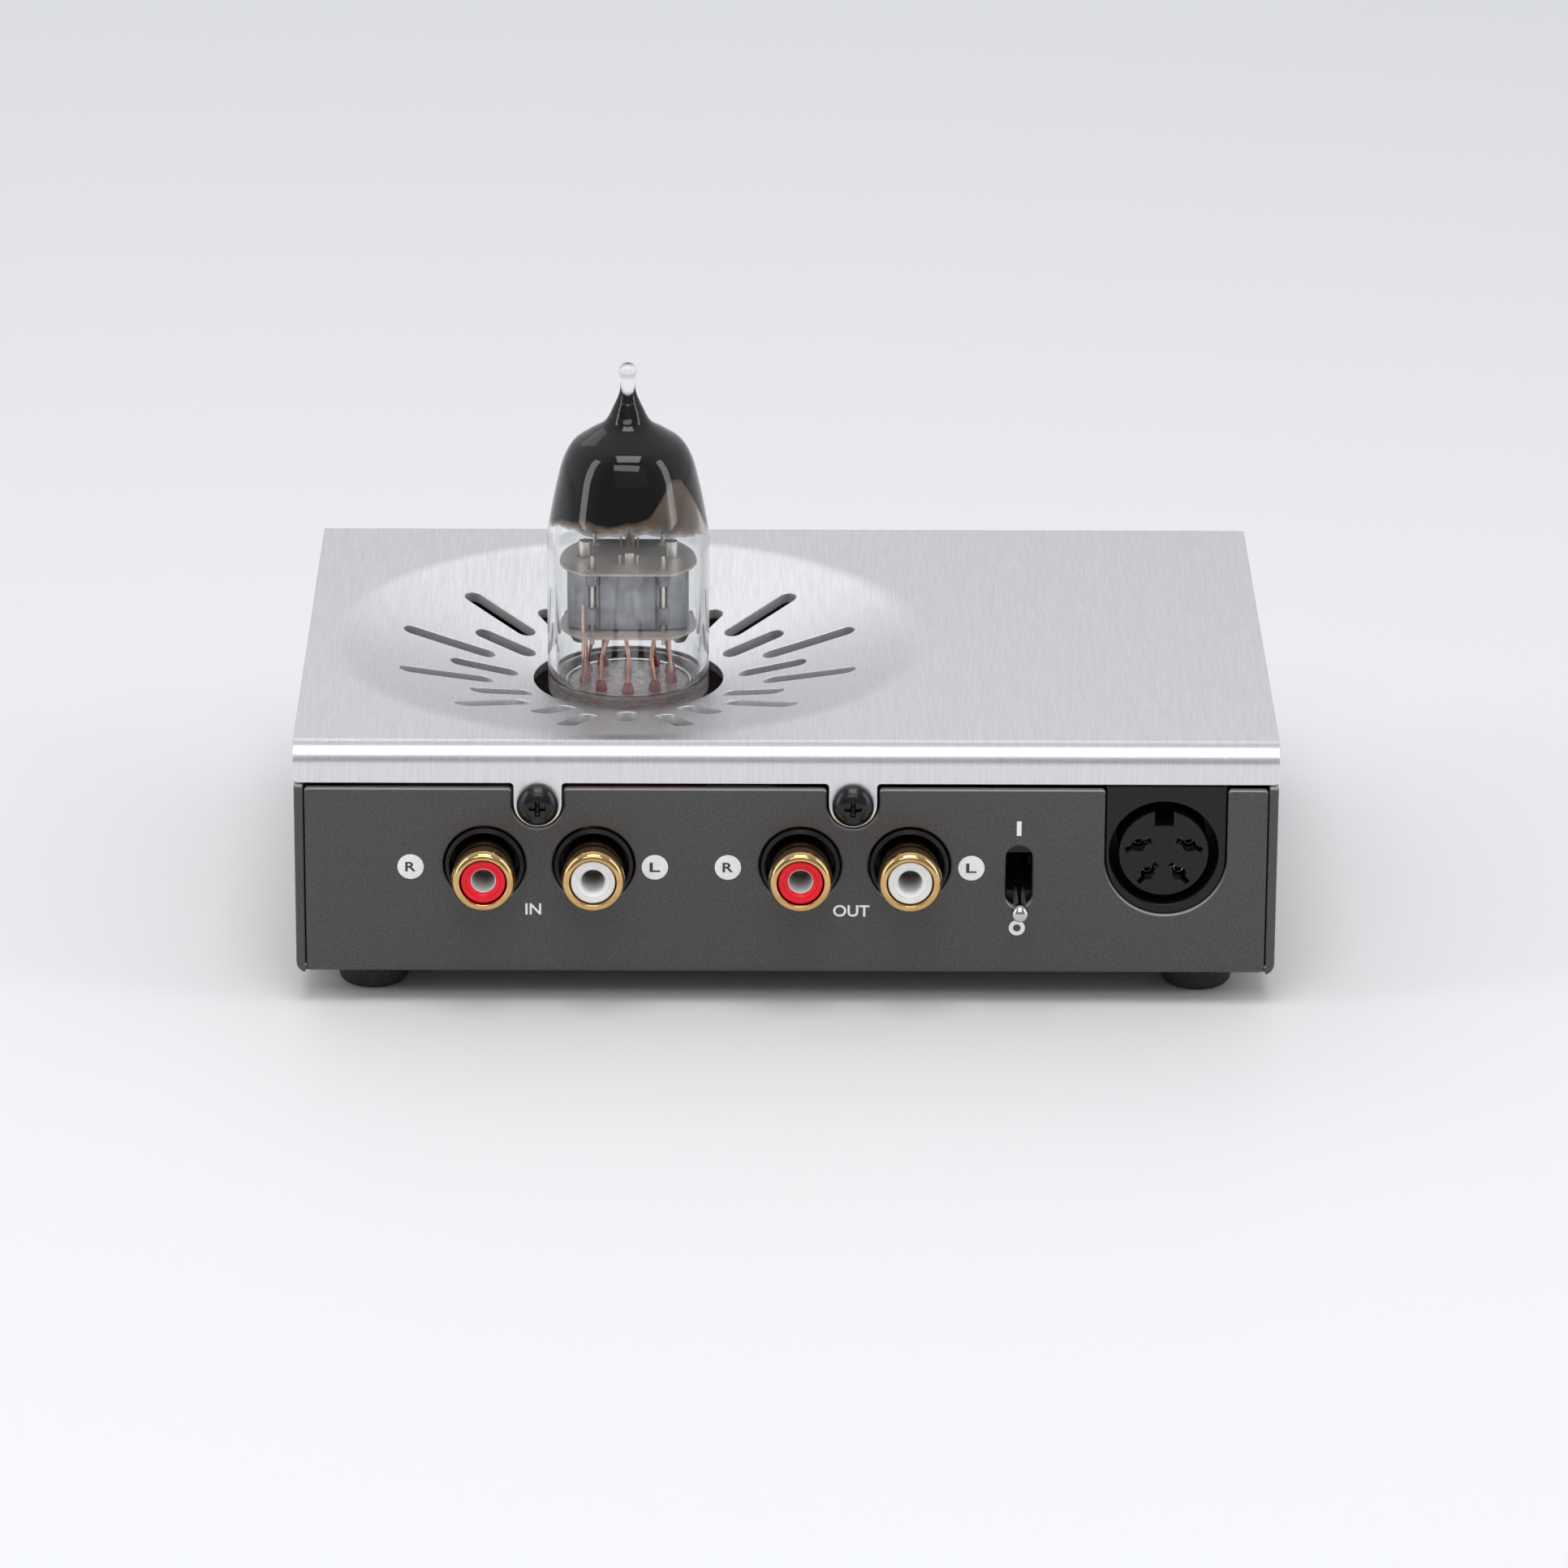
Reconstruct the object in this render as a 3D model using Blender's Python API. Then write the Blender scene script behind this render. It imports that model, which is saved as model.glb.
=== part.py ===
"""A small desktop tube amplifier, modelled as the pieces it comes apart into.

The case is two bent sheets. A brushed aluminium cover makes the top and the control front, and a
powder-coated steel tray makes the floor, the sides and the jack panel. One miniature tube stands
in a dish that is pressed into the cover, with slots round it for the warm air.

Frame: +Z up, feet on Z = 0. -Y is the jack panel and +Y is the control front. +X is to the right
for someone who looks at the jack panel. The origin is at the middle of the amplifier's outline.
"""

import math

import bmesh
import bpy
import numpy as np

MM = 0.001

# Case
BODY_WIDTH = 127.0 * MM
BODY_DEPTH = 88.9 * MM
COVER_TOP = 35.75 * MM
COVER_SHEET = 1.5 * MM
BEND_RADIUS = 2.7 * MM
BEND_STEPS = 4
LIP_BOTTOM = 30.6 * MM
TRAY_SHEET = 1.2 * MM
TRAY_UNDERSIDE = 4.25 * MM
TRAY_INSET = 0.1 * MM
TRAY_CORNER = 1.5 * MM
PANEL_TOP = 29.85 * MM
SIDE_TOP_AT_LIP = 30.3 * MM
SIDE_TOP = 33.9 * MM
SIDE_CORNER = 1.0 * MM
SIDE_CORNER_STEPS = 4
PANEL_EDGE_SLIT = 0.25 * MM
RELIEF_RADIUS = 0.55 * MM
GAP = 0.3 * MM
FLANGE_LENGTH = 11.0 * MM

# Dish and vent slots round the tube
TUBE_X = -20.9 * MM
TUBE_FROM_PANEL = 42.8 * MM
DISH_RADIUS = 38.5 * MM
DISH_BLEND = 1.5 * MM
DISH_DEPTH = 8.0 * MM
DISH_POWER = 1.2
TUBE_HOLE_RADIUS = 12.6 * MM
DISH_RINGS = (TUBE_HOLE_RADIUS, 25.0 * MM, DISH_RADIUS - DISH_BLEND, DISH_RADIUS, DISH_RADIUS + DISH_BLEND)
DISH_SEGMENTS = 48
SLOT_PAIRS = 12
SLOT_WIDTH = 2.6 * MM
LONG_SLOT = (18.6 * MM, 31.2 * MM)
SHORT_SLOT = (14.7 * MM, 23.7 * MM)

# Tongues of the cover, with their screws
TONGUE_X = (-32.0 * MM, 8.6 * MM)
TONGUE_HALF_WIDTH = 3.1 * MM
NOTCH_HALF_WIDTH = 3.4 * MM
TONGUE_CENTRE_Z = 27.75 * MM
TONGUE_FILLET = 0.5 * MM
LIP_CORNER = 0.7 * MM
SCREW_HOLE = 1.7 * MM
SHANK_RADIUS = 1.4 * MM
HEAD_RADIUS = 2.53 * MM
HEAD_HEIGHT = 1.9 * MM
TAB_HALF_WIDTH = 3.1 * MM
TAB_BOTTOM = 23.3 * MM

# Feet, board and standoffs
FOOT_RADIUS = 4.9 * MM
FOOT_INSET = 9.7 * MM
BOARD_TOP = 9.6 * MM
BOARD_THICKNESS = 1.6 * MM
BOARD_WIDTH = 121.0 * MM
BOARD_HOLE_X = 56.3 * MM
BOARD_HOLES_FROM_PANEL = (23.0 * MM, 66.0 * MM)
FLANGE_SCREW_X = (-40.0 * MM, 40.0 * MM)
CAN_RADIUS = 6.25 * MM
CAN_HEIGHT = 18.0 * MM
CAN_PLACES = ((5.0 * MM, 28.0 * MM), (20.5 * MM, 28.0 * MM), (5.0 * MM, 44.0 * MM), (20.5 * MM, 44.0 * MM))

# Phono jacks
INPUT_X = (-38.9 * MM, -24.8 * MM)
OUTPUT_X = (1.85 * MM, 15.95 * MM)
JACK_Z = 19.3 * MM
JACK_HOLE = 5.35 * MM
BOSS_RADIUS = 5.05 * MM
SHELL_RADIUS = 4.13 * MM
SHELL_BORE = 3.15 * MM
SHELL_REACH = 6.4 * MM
INSULATOR_RADIUS = 2.9 * MM
INSULATOR_BORE = 1.65 * MM

# Toggle switches: the pivot lies inside the wall, and the lever leans by the throw at rest
POWER_X = 30.1 * MM
POWER_Z = 17.85 * MM
PIVOT_DEPTH = 5.6 * MM
LEVER_LENGTH = 11.81 * MM
LEVER_TIP_RADIUS = 1.2 * MM
LEVER_THROW = 13.0
SLOT_HALF_WIDTH = 1.75 * MM
SLOT_HALF_HEIGHT = 4.3 * MM
GAIN_X = 20.0 * MM

# Power inlet
INLET_X = 48.75 * MM
INLET_Z = 21.1 * MM
INLET_CUT_X = 49.0 * MM
INLET_CUT_HALF_WIDTH = 7.9 * MM
INLET_CUT_CENTRE_Z = 20.55 * MM
INLET_GROOVE = (5.78 * MM, 7.05 * MM)
INLET_CONTACT_CIRCLE = 3.45 * MM
INLET_CONTACT_RADIUS = 0.85 * MM
# Where each contact is on the circle, and which way its slit runs, in degrees
INLET_CONTACTS = ((18.0, 158.0), (162.0, 22.0), (234.0, 48.0), (306.0, 132.0))
INLET_SLIT = (3.5 * MM, 0.54 * MM)
INLET_KEY_HALF_WIDTH = 1.2 * MM
INLET_KEY_BOTTOM = 3.75 * MM
INLET_DEPTH = 8.0 * MM

# Controls on the front
CONTROL_Z = 19.6 * MM
PHONES_X = 45.0 * MM
PHONES_BORE = 3.3 * MM
PHONES_BUSH = 4.6 * MM
VOLUME_X = -42.0 * MM
KNOB_RADIUS = 9.5 * MM
KNOB_LENGTH = 13.0 * MM
KNOB_GAP = 1.0 * MM
SHAFT_RADIUS = 3.0 * MM
POT_BUSH = 3.3 * MM
LED_X = 3.0 * MM
LED_RADIUS = 1.5 * MM

# Tube
GLASS_BOTTOM = 28.0 * MM
GLASS_RADIUS = 10.75 * MM
GLASS_WALL = 1.0 * MM
STRAIGHT_TOP = 50.0 * MM
PIN_CIRCLE = 5.945 * MM
PIN_RADIUS = 0.51 * MM
PIN_BOTTOM = 21.0 * MM
LEAD_TOP = 36.6 * MM
SOCKET_RADIUS = 10.5 * MM
SOCKET_PLACES = 10
LOWER_MICA_Z = 37.6 * MM
UPPER_MICA_Z = 46.5 * MM
MICA_THICKNESS = 0.4 * MM
MICA_RADIUS = 9.1 * MM
MICA_HALF_DEPTH = 7.1 * MM
ANODE_HALF_SPAN = 7.95 * MM
ANODE_INNER = 3.6 * MM
ANODE_HALF_DEPTH = 4.5 * MM
ANODE_SHEET = 0.45 * MM
ANODE_ROD_X = 4.6 * MM
ROD_RADIUS = 0.4 * MM
CATHODE_RADIUS = 0.8 * MM
CATHODE_X = 5.75 * MM

# The outline is centred front to back between the switch lever and the knob
LEVER_REACH = LEVER_LENGTH * math.cos(math.radians(LEVER_THROW)) - PIVOT_DEPTH + LEVER_TIP_RADIUS
KNOB_REACH = KNOB_GAP + KNOB_LENGTH
PANEL_Y = -(BODY_DEPTH + KNOB_REACH - LEVER_REACH) / 2
FRONT_Y = PANEL_Y + BODY_DEPTH
TUBE_Y = PANEL_Y + TUBE_FROM_PANEL
FLOOR_TOP = TRAY_UNDERSIDE + TRAY_SHEET

# Name: colour, roughness, metallic
FINISHES = {
    "brushed_aluminium": ((0.78, 0.79, 0.81), 0.35, 1.0),
    "powder_coat": ((0.075, 0.073, 0.073), 0.55, 0.0),
    "black_screw": ((0.02, 0.02, 0.02), 0.25, 0.6),
    "foot_rubber": ((0.025, 0.025, 0.025), 0.8, 0.0),
    "board_laminate": ((0.07, 0.02, 0.02), 0.45, 0.0),
    "brass": ((0.75, 0.6, 0.35), 0.3, 1.0),
    "plated_steel": ((0.72, 0.72, 0.72), 0.25, 1.0),
    "black_plastic": ((0.02, 0.02, 0.022), 0.4, 0.0),
    "gold_plate": ((0.86, 0.68, 0.40), 0.18, 1.0),
    "red_insulator": ((0.75, 0.03, 0.05), 0.4, 0.0),
    "white_insulator": ((0.9, 0.9, 0.88), 0.4, 0.0),
    "chrome": ((0.85, 0.85, 0.86), 0.08, 1.0),
    "socket_plastic": ((0.16, 0.05, 0.04), 0.5, 0.0),
    "clear_glass": ((0.95, 0.96, 0.96), 0.03, 0.0),
    "mica": ((0.75, 0.70, 0.66), 0.3, 0.0),
    "anode_grey": ((0.30, 0.31, 0.33), 0.55, 0.7),
    "nickel": ((0.7, 0.68, 0.64), 0.3, 1.0),
    "can_sleeve": ((0.03, 0.03, 0.05), 0.35, 0.0),
    "lamp_lens": ((0.9, 0.9, 0.9), 0.2, 0.0),
}


def material(finish):
    """Return the finish's Principled material, made on first use."""
    found = bpy.data.materials.get(finish)
    if found:
        return found
    colour, roughness, metallic = FINISHES[finish]
    made = bpy.data.materials.new(finish)
    made.use_nodes = True
    shader = made.node_tree.nodes["Principled BSDF"]
    shader.inputs["Base Color"].default_value = (*colour, 1.0)
    shader.inputs["Roughness"].default_value = roughness
    shader.inputs["Metallic"].default_value = metallic
    if finish == "clear_glass":
        shader.inputs["Transmission Weight"].default_value = 1.0
    return made


def add_object(name, mesh, finish, location=(0.0, 0.0, 0.0), parent=None, smooth=True):
    """Put a mesh in the scene as one named piece with its own material."""
    made = bpy.data.objects.new(name, mesh)
    bpy.context.scene.collection.objects.link(made)
    made.location = location
    if parent:
        made.parent = parent
    if finish:
        mesh.materials.append(material(finish))
    if smooth:
        mesh.shade_smooth()
        mesh.set_sharp_from_angle(angle=math.radians(35.0))
    return made


def add_pivot(name, location):
    """Put an empty where a group of pieces turns or slides."""
    made = bpy.data.objects.new(name, None)
    made.empty_display_size = 5.0 * MM
    bpy.context.scene.collection.objects.link(made)
    made.location = location
    return made


def mesh_of(name, points, faces):
    """Make a mesh whose faces point outwards."""
    mesh = bpy.data.meshes.new(name)
    mesh.from_pydata([tuple(float(v) for v in p) for p in points], [], faces)
    work = bmesh.new()
    work.from_mesh(mesh)
    bmesh.ops.recalc_face_normals(work, faces=work.faces)
    work.to_mesh(mesh)
    work.free()
    return mesh


def turned_to(axis, points):
    """Turn points whose own axis is +Z so that it runs along the named axis."""
    x, y, z = np.asarray(points, dtype=float).T
    if axis == "-Y":
        return np.stack((x, -z, y), axis=1)
    if axis == "+Y":
        return np.stack((-x, z, y), axis=1)
    if axis == "-Z":
        return np.stack((x, -y, -z), axis=1)
    return np.stack((x, y, z), axis=1)


def lathe_mesh(name, profile, axis="+Z", segments=32, closed=False):
    """Turn a profile of (radius, height) points about its axis.

    An open profile starts and ends on the axis. A closed one is a ring, and joins its ends.
    """
    points = []
    rows = []
    for radius, height in profile:
        if radius == 0.0:
            rows.append([len(points)] * segments)
            points.append((0.0, 0.0, height))
            continue
        start = len(points)
        turn = 2.0 * math.pi * np.arange(segments) / segments
        points.extend(zip(radius * np.cos(turn), radius * np.sin(turn), [height] * segments))
        rows.append(list(range(start, start + segments)))
    pairs = list(zip(rows, rows[1:]))
    if closed:
        pairs.append((rows[-1], rows[0]))
    faces = []
    for lower, upper in pairs:
        for i in range(segments):
            j = (i + 1) % segments
            corners = [lower[i], lower[j], upper[j], upper[i]]
            face = list(dict.fromkeys(corners))
            if len(face) > 2:
                faces.append(face)
    return mesh_of(name, turned_to(axis, points), faces)


def lathe(name, profile, finish, location, axis="+Z", segments=32, closed=False, parent=None):
    """A turned piece, placed by the origin of its profile."""
    mesh = lathe_mesh(name, profile, axis, segments, closed)
    return add_object(name, mesh, finish, location, parent)


def prism_mesh(name, outline, axis, low, high):
    """Extrude an outline along X, Y or Z. Its points are (Y, Z), (X, Z) or (X, Y)."""
    count = len(outline)
    points = []
    for level in (low, high):
        for u, v in outline:
            points.append({"X": (level, u, v), "Y": (u, level, v), "Z": (u, v, level)}[axis])
    faces = [list(range(count)), list(range(2 * count - 1, count - 1, -1))]
    for i in range(count):
        j = (i + 1) % count
        faces.append([i, j, count + j, count + i])
    return mesh_of(name, points, faces)


def prism(name, outline, finish, axis, low, high, location=(0.0, 0.0, 0.0), parent=None):
    """An extruded piece."""
    mesh = prism_mesh(name, outline, axis, low, high)
    return add_object(name, mesh, finish, location, parent)


def arc(centre, radius, start, stop, steps):
    """Points on an arc, with its angles in degrees."""
    angles = np.radians(np.linspace(start, stop, steps + 1))
    return [(centre[0] + radius * math.cos(a), centre[1] + radius * math.sin(a)) for a in angles]


def rectangle(left, right, low, high):
    """The four corners of a rectangle."""
    return [(left, low), (right, low), (right, high), (left, high)]


def rounded_rectangle(left, right, low, high, radius, steps=3):
    """A rectangle with a round at each corner."""
    return (
        arc((right - radius, high - radius), radius, 0, 90, steps)
        + arc((left + radius, high - radius), radius, 90, 180, steps)
        + arc((left + radius, low + radius), radius, 180, 270, steps)
        + arc((right - radius, low + radius), radius, 270, 360, steps)
    )


def circle(centre, radius, segments):
    """A closed circle, whose last point isn't repeated."""
    return arc(centre, radius, 0, 360, segments)[:-1]


def obround(near, far, width, direction, steps=4):
    """A slot between two distances from the origin, along a direction in degrees."""
    radius = width / 2
    outline = arc((far - radius, 0.0), radius, -90, 90, steps)
    outline += arc((near + radius, 0.0), radius, 90, 270, steps)
    turn = math.radians(direction)
    cos, sin = math.cos(turn), math.sin(turn)
    return [(u * cos - v * sin, u * sin + v * cos) for u, v in outline]


def helper(mesh, location=(0.0, 0.0, 0.0)):
    """A shape that only cuts or adds to a piece, hidden from the render."""
    made = add_object(mesh.name + "_helper", mesh, None, location, smooth=False)
    made.hide_render = True
    made.display_type = "WIRE"
    return made


def combine(piece, operation, *shapes):
    """Cut helper shapes from a piece, or join them to it, with live Boolean modifiers."""
    for shape in shapes:
        step = piece.modifiers.new(shape.name, "BOOLEAN")
        step.operation = operation
        step.solver = "EXACT"
        step.object = shape


def cut(piece, *shapes):
    """Take helper shapes out of a piece."""
    combine(piece, "DIFFERENCE", *shapes)


def join(piece, *shapes):
    """Add helper shapes to a piece."""
    combine(piece, "UNION", *shapes)


def many_prisms(name, outlines, axis, low, high):
    """Several separate prisms in one mesh, for cutting a pattern in one step."""
    joined = bmesh.new()
    for outline in outlines:
        single = prism_mesh(name + "_single", outline, axis, low, high)
        joined.from_mesh(single)
        bpy.data.meshes.remove(single)
    mesh = bpy.data.meshes.new(name)
    joined.to_mesh(mesh)
    joined.free()
    return mesh


def toggle_slot(x, z):
    """The outline of a lever's slot in a wall."""
    upper = arc((x, z + SLOT_HALF_HEIGHT - SLOT_HALF_WIDTH), SLOT_HALF_WIDTH, 0, 180, 8)
    lower = arc((x, z - SLOT_HALF_HEIGHT + SLOT_HALF_WIDTH), SLOT_HALF_WIDTH, 180, 360, 8)
    return upper + lower


# ------------------------------------------------------------------ cover


def dish_drop(radius):
    """How far the pressed dish lies under the flat top at a distance from the tube's axis.

    The wall is nearly a cone, a little steeper towards the rim, and a soft curve joins it to
    the flat sheet.
    """
    inner = DISH_RADIUS - DISH_BLEND
    outer = DISH_RADIUS + DISH_BLEND
    if radius >= outer:
        return 0.0
    if radius > inner:
        return dish_drop(inner) * ((outer - radius) / (outer - inner)) ** 2
    return DISH_DEPTH * (1.0 - (radius / DISH_RADIUS) ** DISH_POWER)


def cover_skin():
    """The cover's outer face as one open surface: dish, flat top, lip and control front."""
    points = []
    faces = []
    turn = 2.0 * math.pi * np.arange(DISH_SEGMENTS) / DISH_SEGMENTS
    for radius in DISH_RINGS:
        level = COVER_TOP - dish_drop(radius)
        x = TUBE_X + radius * np.cos(turn)
        y = TUBE_Y + radius * np.sin(turn)
        points.extend(zip(x, y, [level] * DISH_SEGMENTS))
    for ring in range(len(DISH_RINGS) - 1):
        for i in range(DISH_SEGMENTS):
            j = (i + 1) % DISH_SEGMENTS
            base = ring * DISH_SEGMENTS
            faces.append([base + i, base + DISH_SEGMENTS + i, base + DISH_SEGMENTS + j, base + j])

    # The flat sheet is a fan of triangles from each corner to the quarter of the rim facing it
    half = BODY_WIDTH / 2
    back = PANEL_Y + BEND_RADIUS
    front = FRONT_Y - BEND_RADIUS
    rim = (len(DISH_RINGS) - 1) * DISH_SEGMENTS
    first_corner = len(points)
    corners = [(half, front), (-half, front), (-half, back), (half, back)]
    points.extend((x, y, COVER_TOP) for x, y in corners)
    quarter = DISH_SEGMENTS // 4
    for k in range(4):
        corner = first_corner + k
        for i in range(k * quarter, (k + 1) * quarter):
            faces.append([rim + i, corner, rim + (i + 1) % DISH_SEGMENTS])
        following = first_corner + (k + 1) % 4
        faces.append([rim + ((k + 1) * quarter) % DISH_SEGMENTS, corner, following])

    # Lip behind, control front and its folded flange ahead, as bands between the two sides
    lip = arc((back, COVER_TOP - BEND_RADIUS), BEND_RADIUS, 90, 180, BEND_STEPS)
    lip.append((PANEL_Y, TONGUE_CENTRE_Z - NOTCH_HALF_WIDTH - GAP))
    wall = arc((front, COVER_TOP - BEND_RADIUS), BEND_RADIUS, 90, 0, BEND_STEPS)
    flange_bottom = FLOOR_TOP + GAP
    wall += arc((front, flange_bottom + BEND_RADIUS), BEND_RADIUS, 0, -90, BEND_STEPS)
    wall.append((FRONT_Y - FLANGE_LENGTH, flange_bottom))
    bands = ((lip, first_corner + 3, first_corner + 2), (wall, first_corner, first_corner + 1))
    for path, right, left in bands:
        for y, z in path[1:]:
            start = len(points)
            points.extend([(half, y, z), (-half, y, z)])
            faces.append([right, left, start + 1, start])
            right, left = start, start + 1
    return points, faces


def lip_trim():
    """What is cut away below the lip: everything but the two tongues."""
    half = BODY_WIDTH / 2
    outline = arc((-half + LIP_CORNER, LIP_BOTTOM + LIP_CORNER), LIP_CORNER, 180, 270, 3)
    for x in TONGUE_X:
        fillet_left = (x - TONGUE_HALF_WIDTH - TONGUE_FILLET, LIP_BOTTOM - TONGUE_FILLET)
        fillet_right = (x + TONGUE_HALF_WIDTH + TONGUE_FILLET, LIP_BOTTOM - TONGUE_FILLET)
        outline += arc(fillet_left, TONGUE_FILLET, 90, 0, 3)
        outline += arc((x, TONGUE_CENTRE_Z), TONGUE_HALF_WIDTH, 180, 360, 12)
        outline += arc(fillet_right, TONGUE_FILLET, 180, 90, 3)
    outline += arc((half - LIP_CORNER, LIP_BOTTOM + LIP_CORNER), LIP_CORNER, 270, 360, 3)
    below = TONGUE_CENTRE_Z - 3 * NOTCH_HALF_WIDTH
    outline += [(half + GAP, LIP_BOTTOM + LIP_CORNER), (half + GAP, below), (-half - GAP, below)]
    outline.append((-half - GAP, LIP_BOTTOM + LIP_CORNER))
    return prism_mesh("lip_trim", outline, "Y", PANEL_Y - COVER_SHEET, PANEL_Y + COVER_SHEET + GAP)


def vent_slots():
    """Long and short slots that take turns round the tube, a short one facing the jack panel."""
    outlines = []
    step = 360.0 / (2 * SLOT_PAIRS)
    for k in range(2 * SLOT_PAIRS):
        near, far = SHORT_SLOT if k % 2 == 0 else LONG_SLOT
        outlines.append(obround(near, far, SLOT_WIDTH, k * step))
    return many_prisms("vent_slots", outlines, "Z", COVER_TOP - 2 * DISH_DEPTH, COVER_TOP + COVER_SHEET)


def flange_relief():
    """Notches at the ends of the folded flange, so that it clears the tray's sides."""
    inner = BODY_WIDTH / 2 - TRAY_INSET - TRAY_SHEET - GAP
    outer = BODY_WIDTH / 2 + GAP
    low = TRAY_UNDERSIDE
    high = FLOOR_TOP + GAP + BEND_RADIUS
    outlines = [rectangle(inner, outer, low, high), rectangle(-outer, -inner, low, high)]
    return many_prisms("flange_relief", outlines, "Y", FRONT_Y - FLANGE_LENGTH - GAP, FRONT_Y + GAP)


def flange_screw_y():
    """Where the screws through the cover's folded flange stand, front to back."""
    return FRONT_Y - FLANGE_LENGTH + 4.0 * MM


def build_cover():
    """The bent and dished aluminium sheet, with its slots, trims and control holes."""
    cover = add_object("top_cover", mesh_of("top_cover", *cover_skin()), "brushed_aluminium")
    wall = cover.modifiers.new("sheet", "SOLIDIFY")
    wall.thickness = COVER_SHEET
    wall.offset = -1.0
    wall.use_even_offset = True

    rear = (PANEL_Y - COVER_SHEET, PANEL_Y + COVER_SHEET + GAP)
    front = (FRONT_Y - COVER_SHEET - GAP, FRONT_Y + COVER_SHEET)
    tongue_holes = [circle((x, TONGUE_CENTRE_Z), SCREW_HOLE, 16) for x in TONGUE_X]
    control_holes = [
        circle((PHONES_X, CONTROL_Z), PHONES_BUSH + 0.35 * MM, 20),
        circle((VOLUME_X, CONTROL_Z), POT_BUSH + 0.35 * MM, 16),
        circle((LED_X, CONTROL_Z), LED_RADIUS + GAP, 12),
        toggle_slot(GAIN_X, CONTROL_Z),
    ]
    flange_holes = [circle((x, flange_screw_y()), SCREW_HOLE, 12) for x in FLANGE_SCREW_X]
    cut(
        cover,
        helper(lip_trim()),
        helper(vent_slots(), (TUBE_X, TUBE_Y, 0.0)),
        helper(many_prisms("tongue_holes", tongue_holes, "Y", *rear)),
        helper(many_prisms("control_holes", control_holes, "Y", *front)),
        helper(flange_relief()),
        helper(many_prisms("flange_holes", flange_holes, "Z", TRAY_UNDERSIDE, BOARD_TOP)),
    )


# ------------------------------------------------------------------- tray


def tray_block():
    """A block with its rear and side bottom edges bent round, before its inside is taken out."""
    half = BODY_WIDTH / 2 - TRAY_INSET
    outline = rectangle(-half, half, PANEL_Y, FRONT_Y - GAP)
    mesh = prism_mesh("chassis_tray", outline, "Z", TRAY_UNDERSIDE, SIDE_TOP)
    work = bmesh.new()
    work.from_mesh(mesh)
    bent = []
    for edge in work.edges:
        middle = (edge.verts[0].co + edge.verts[1].co) / 2
        on_floor = abs(middle.z - TRAY_UNDERSIDE) < GAP
        if on_floor and middle.y < FRONT_Y - 2 * GAP:
            bent.append(edge)
    bmesh.ops.bevel(work, geom=bent, offset=TRAY_CORNER, segments=3, profile=0.5, affect="EDGES")
    work.to_mesh(mesh)
    work.free()
    return mesh


def tray_trims():
    """What turns the block into an open tray, seen from the side and from behind."""
    half = BODY_WIDTH / 2 - TRAY_INSET
    inner = half - TRAY_SHEET
    beyond = BODY_WIDTH
    above = COVER_TOP
    inside = prism_mesh(
        "tray_inside", rectangle(-inner, inner, FLOOR_TOP, above), "Y", PANEL_Y + TRAY_SHEET, beyond
    )
    # Each side ends short of the cover's bent walls, with its upper corners rounded under the bends
    rear = PANEL_Y + COVER_SHEET + GAP
    front = FRONT_Y - COVER_SHEET - GAP
    corner_z = SIDE_TOP - SIDE_CORNER
    rear_arc = arc((rear + SIDE_CORNER, corner_z), SIDE_CORNER, 180, 90, SIDE_CORNER_STEPS)
    front_arc = arc((front - SIDE_CORNER, corner_z), SIDE_CORNER, 90, 0, SIDE_CORNER_STEPS)
    rear_end = [(rear + SIDE_CORNER, above), (PANEL_Y - GAP, above), (PANEL_Y - GAP, SIDE_TOP_AT_LIP)]
    rear_end += [(rear, SIDE_TOP_AT_LIP), *rear_arc]
    front_end = [*front_arc, (front, FLOOR_TOP), (beyond, FLOOR_TOP), (beyond, above)]
    front_end.append((front - SIDE_CORNER, above))
    lip_step = prism_mesh("lip_step", rear_end, "X", -beyond, beyond)
    front_step = prism_mesh("front_step", front_end, "X", -beyond, beyond)
    panel_edge = inner - PANEL_EDGE_SLIT / 2
    slit_depth = PANEL_Y + TRAY_SHEET + PANEL_EDGE_SLIT
    low = TRAY_UNDERSIDE + TRAY_CORNER
    slits = [
        rectangle(panel_edge, panel_edge + PANEL_EDGE_SLIT, low, above),
        rectangle(-panel_edge - PANEL_EDGE_SLIT, -panel_edge, low, above),
    ]
    corner_slits = many_prisms("corner_slits", slits, "Y", PANEL_Y - GAP, slit_depth)
    reliefs = [circle((side * inner, low), RELIEF_RADIUS, 12) for side in (-1, 1)]
    corner_reliefs = many_prisms("corner_reliefs", reliefs, "Y", PANEL_Y - GAP, slit_depth)
    return [helper(mesh) for mesh in (inside, lip_step, front_step, corner_slits, corner_reliefs)]


def notch_outline(x):
    """The round-bottomed notch that a tongue of the cover drops into, with rounded upper corners."""
    top = PANEL_TOP
    outline = arc((x - NOTCH_HALF_WIDTH - TONGUE_FILLET, top - TONGUE_FILLET), TONGUE_FILLET, 90, 0, 3)
    outline += arc((x, TONGUE_CENTRE_Z), NOTCH_HALF_WIDTH, 180, 360, 12)
    outline += arc((x + NOTCH_HALF_WIDTH + TONGUE_FILLET, top - TONGUE_FILLET), TONGUE_FILLET, 180, 90, 3)
    return outline


def panel_top_trim():
    """The strip between the panel's top edge and the lip, with the two notches, as one cutter."""
    inner = BODY_WIDTH / 2 - TRAY_INSET - TRAY_SHEET - GAP / 4
    above = COVER_TOP
    outline = [(-inner, PANEL_TOP)]
    for x in TONGUE_X:
        outline += notch_outline(x)
    outline += [(inner, PANEL_TOP), (inner, above), (-inner, above)]
    return prism_mesh("panel_top_trim", outline, "Y", PANEL_Y - GAP, PANEL_Y + TRAY_SHEET + GAP / 2)


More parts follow.
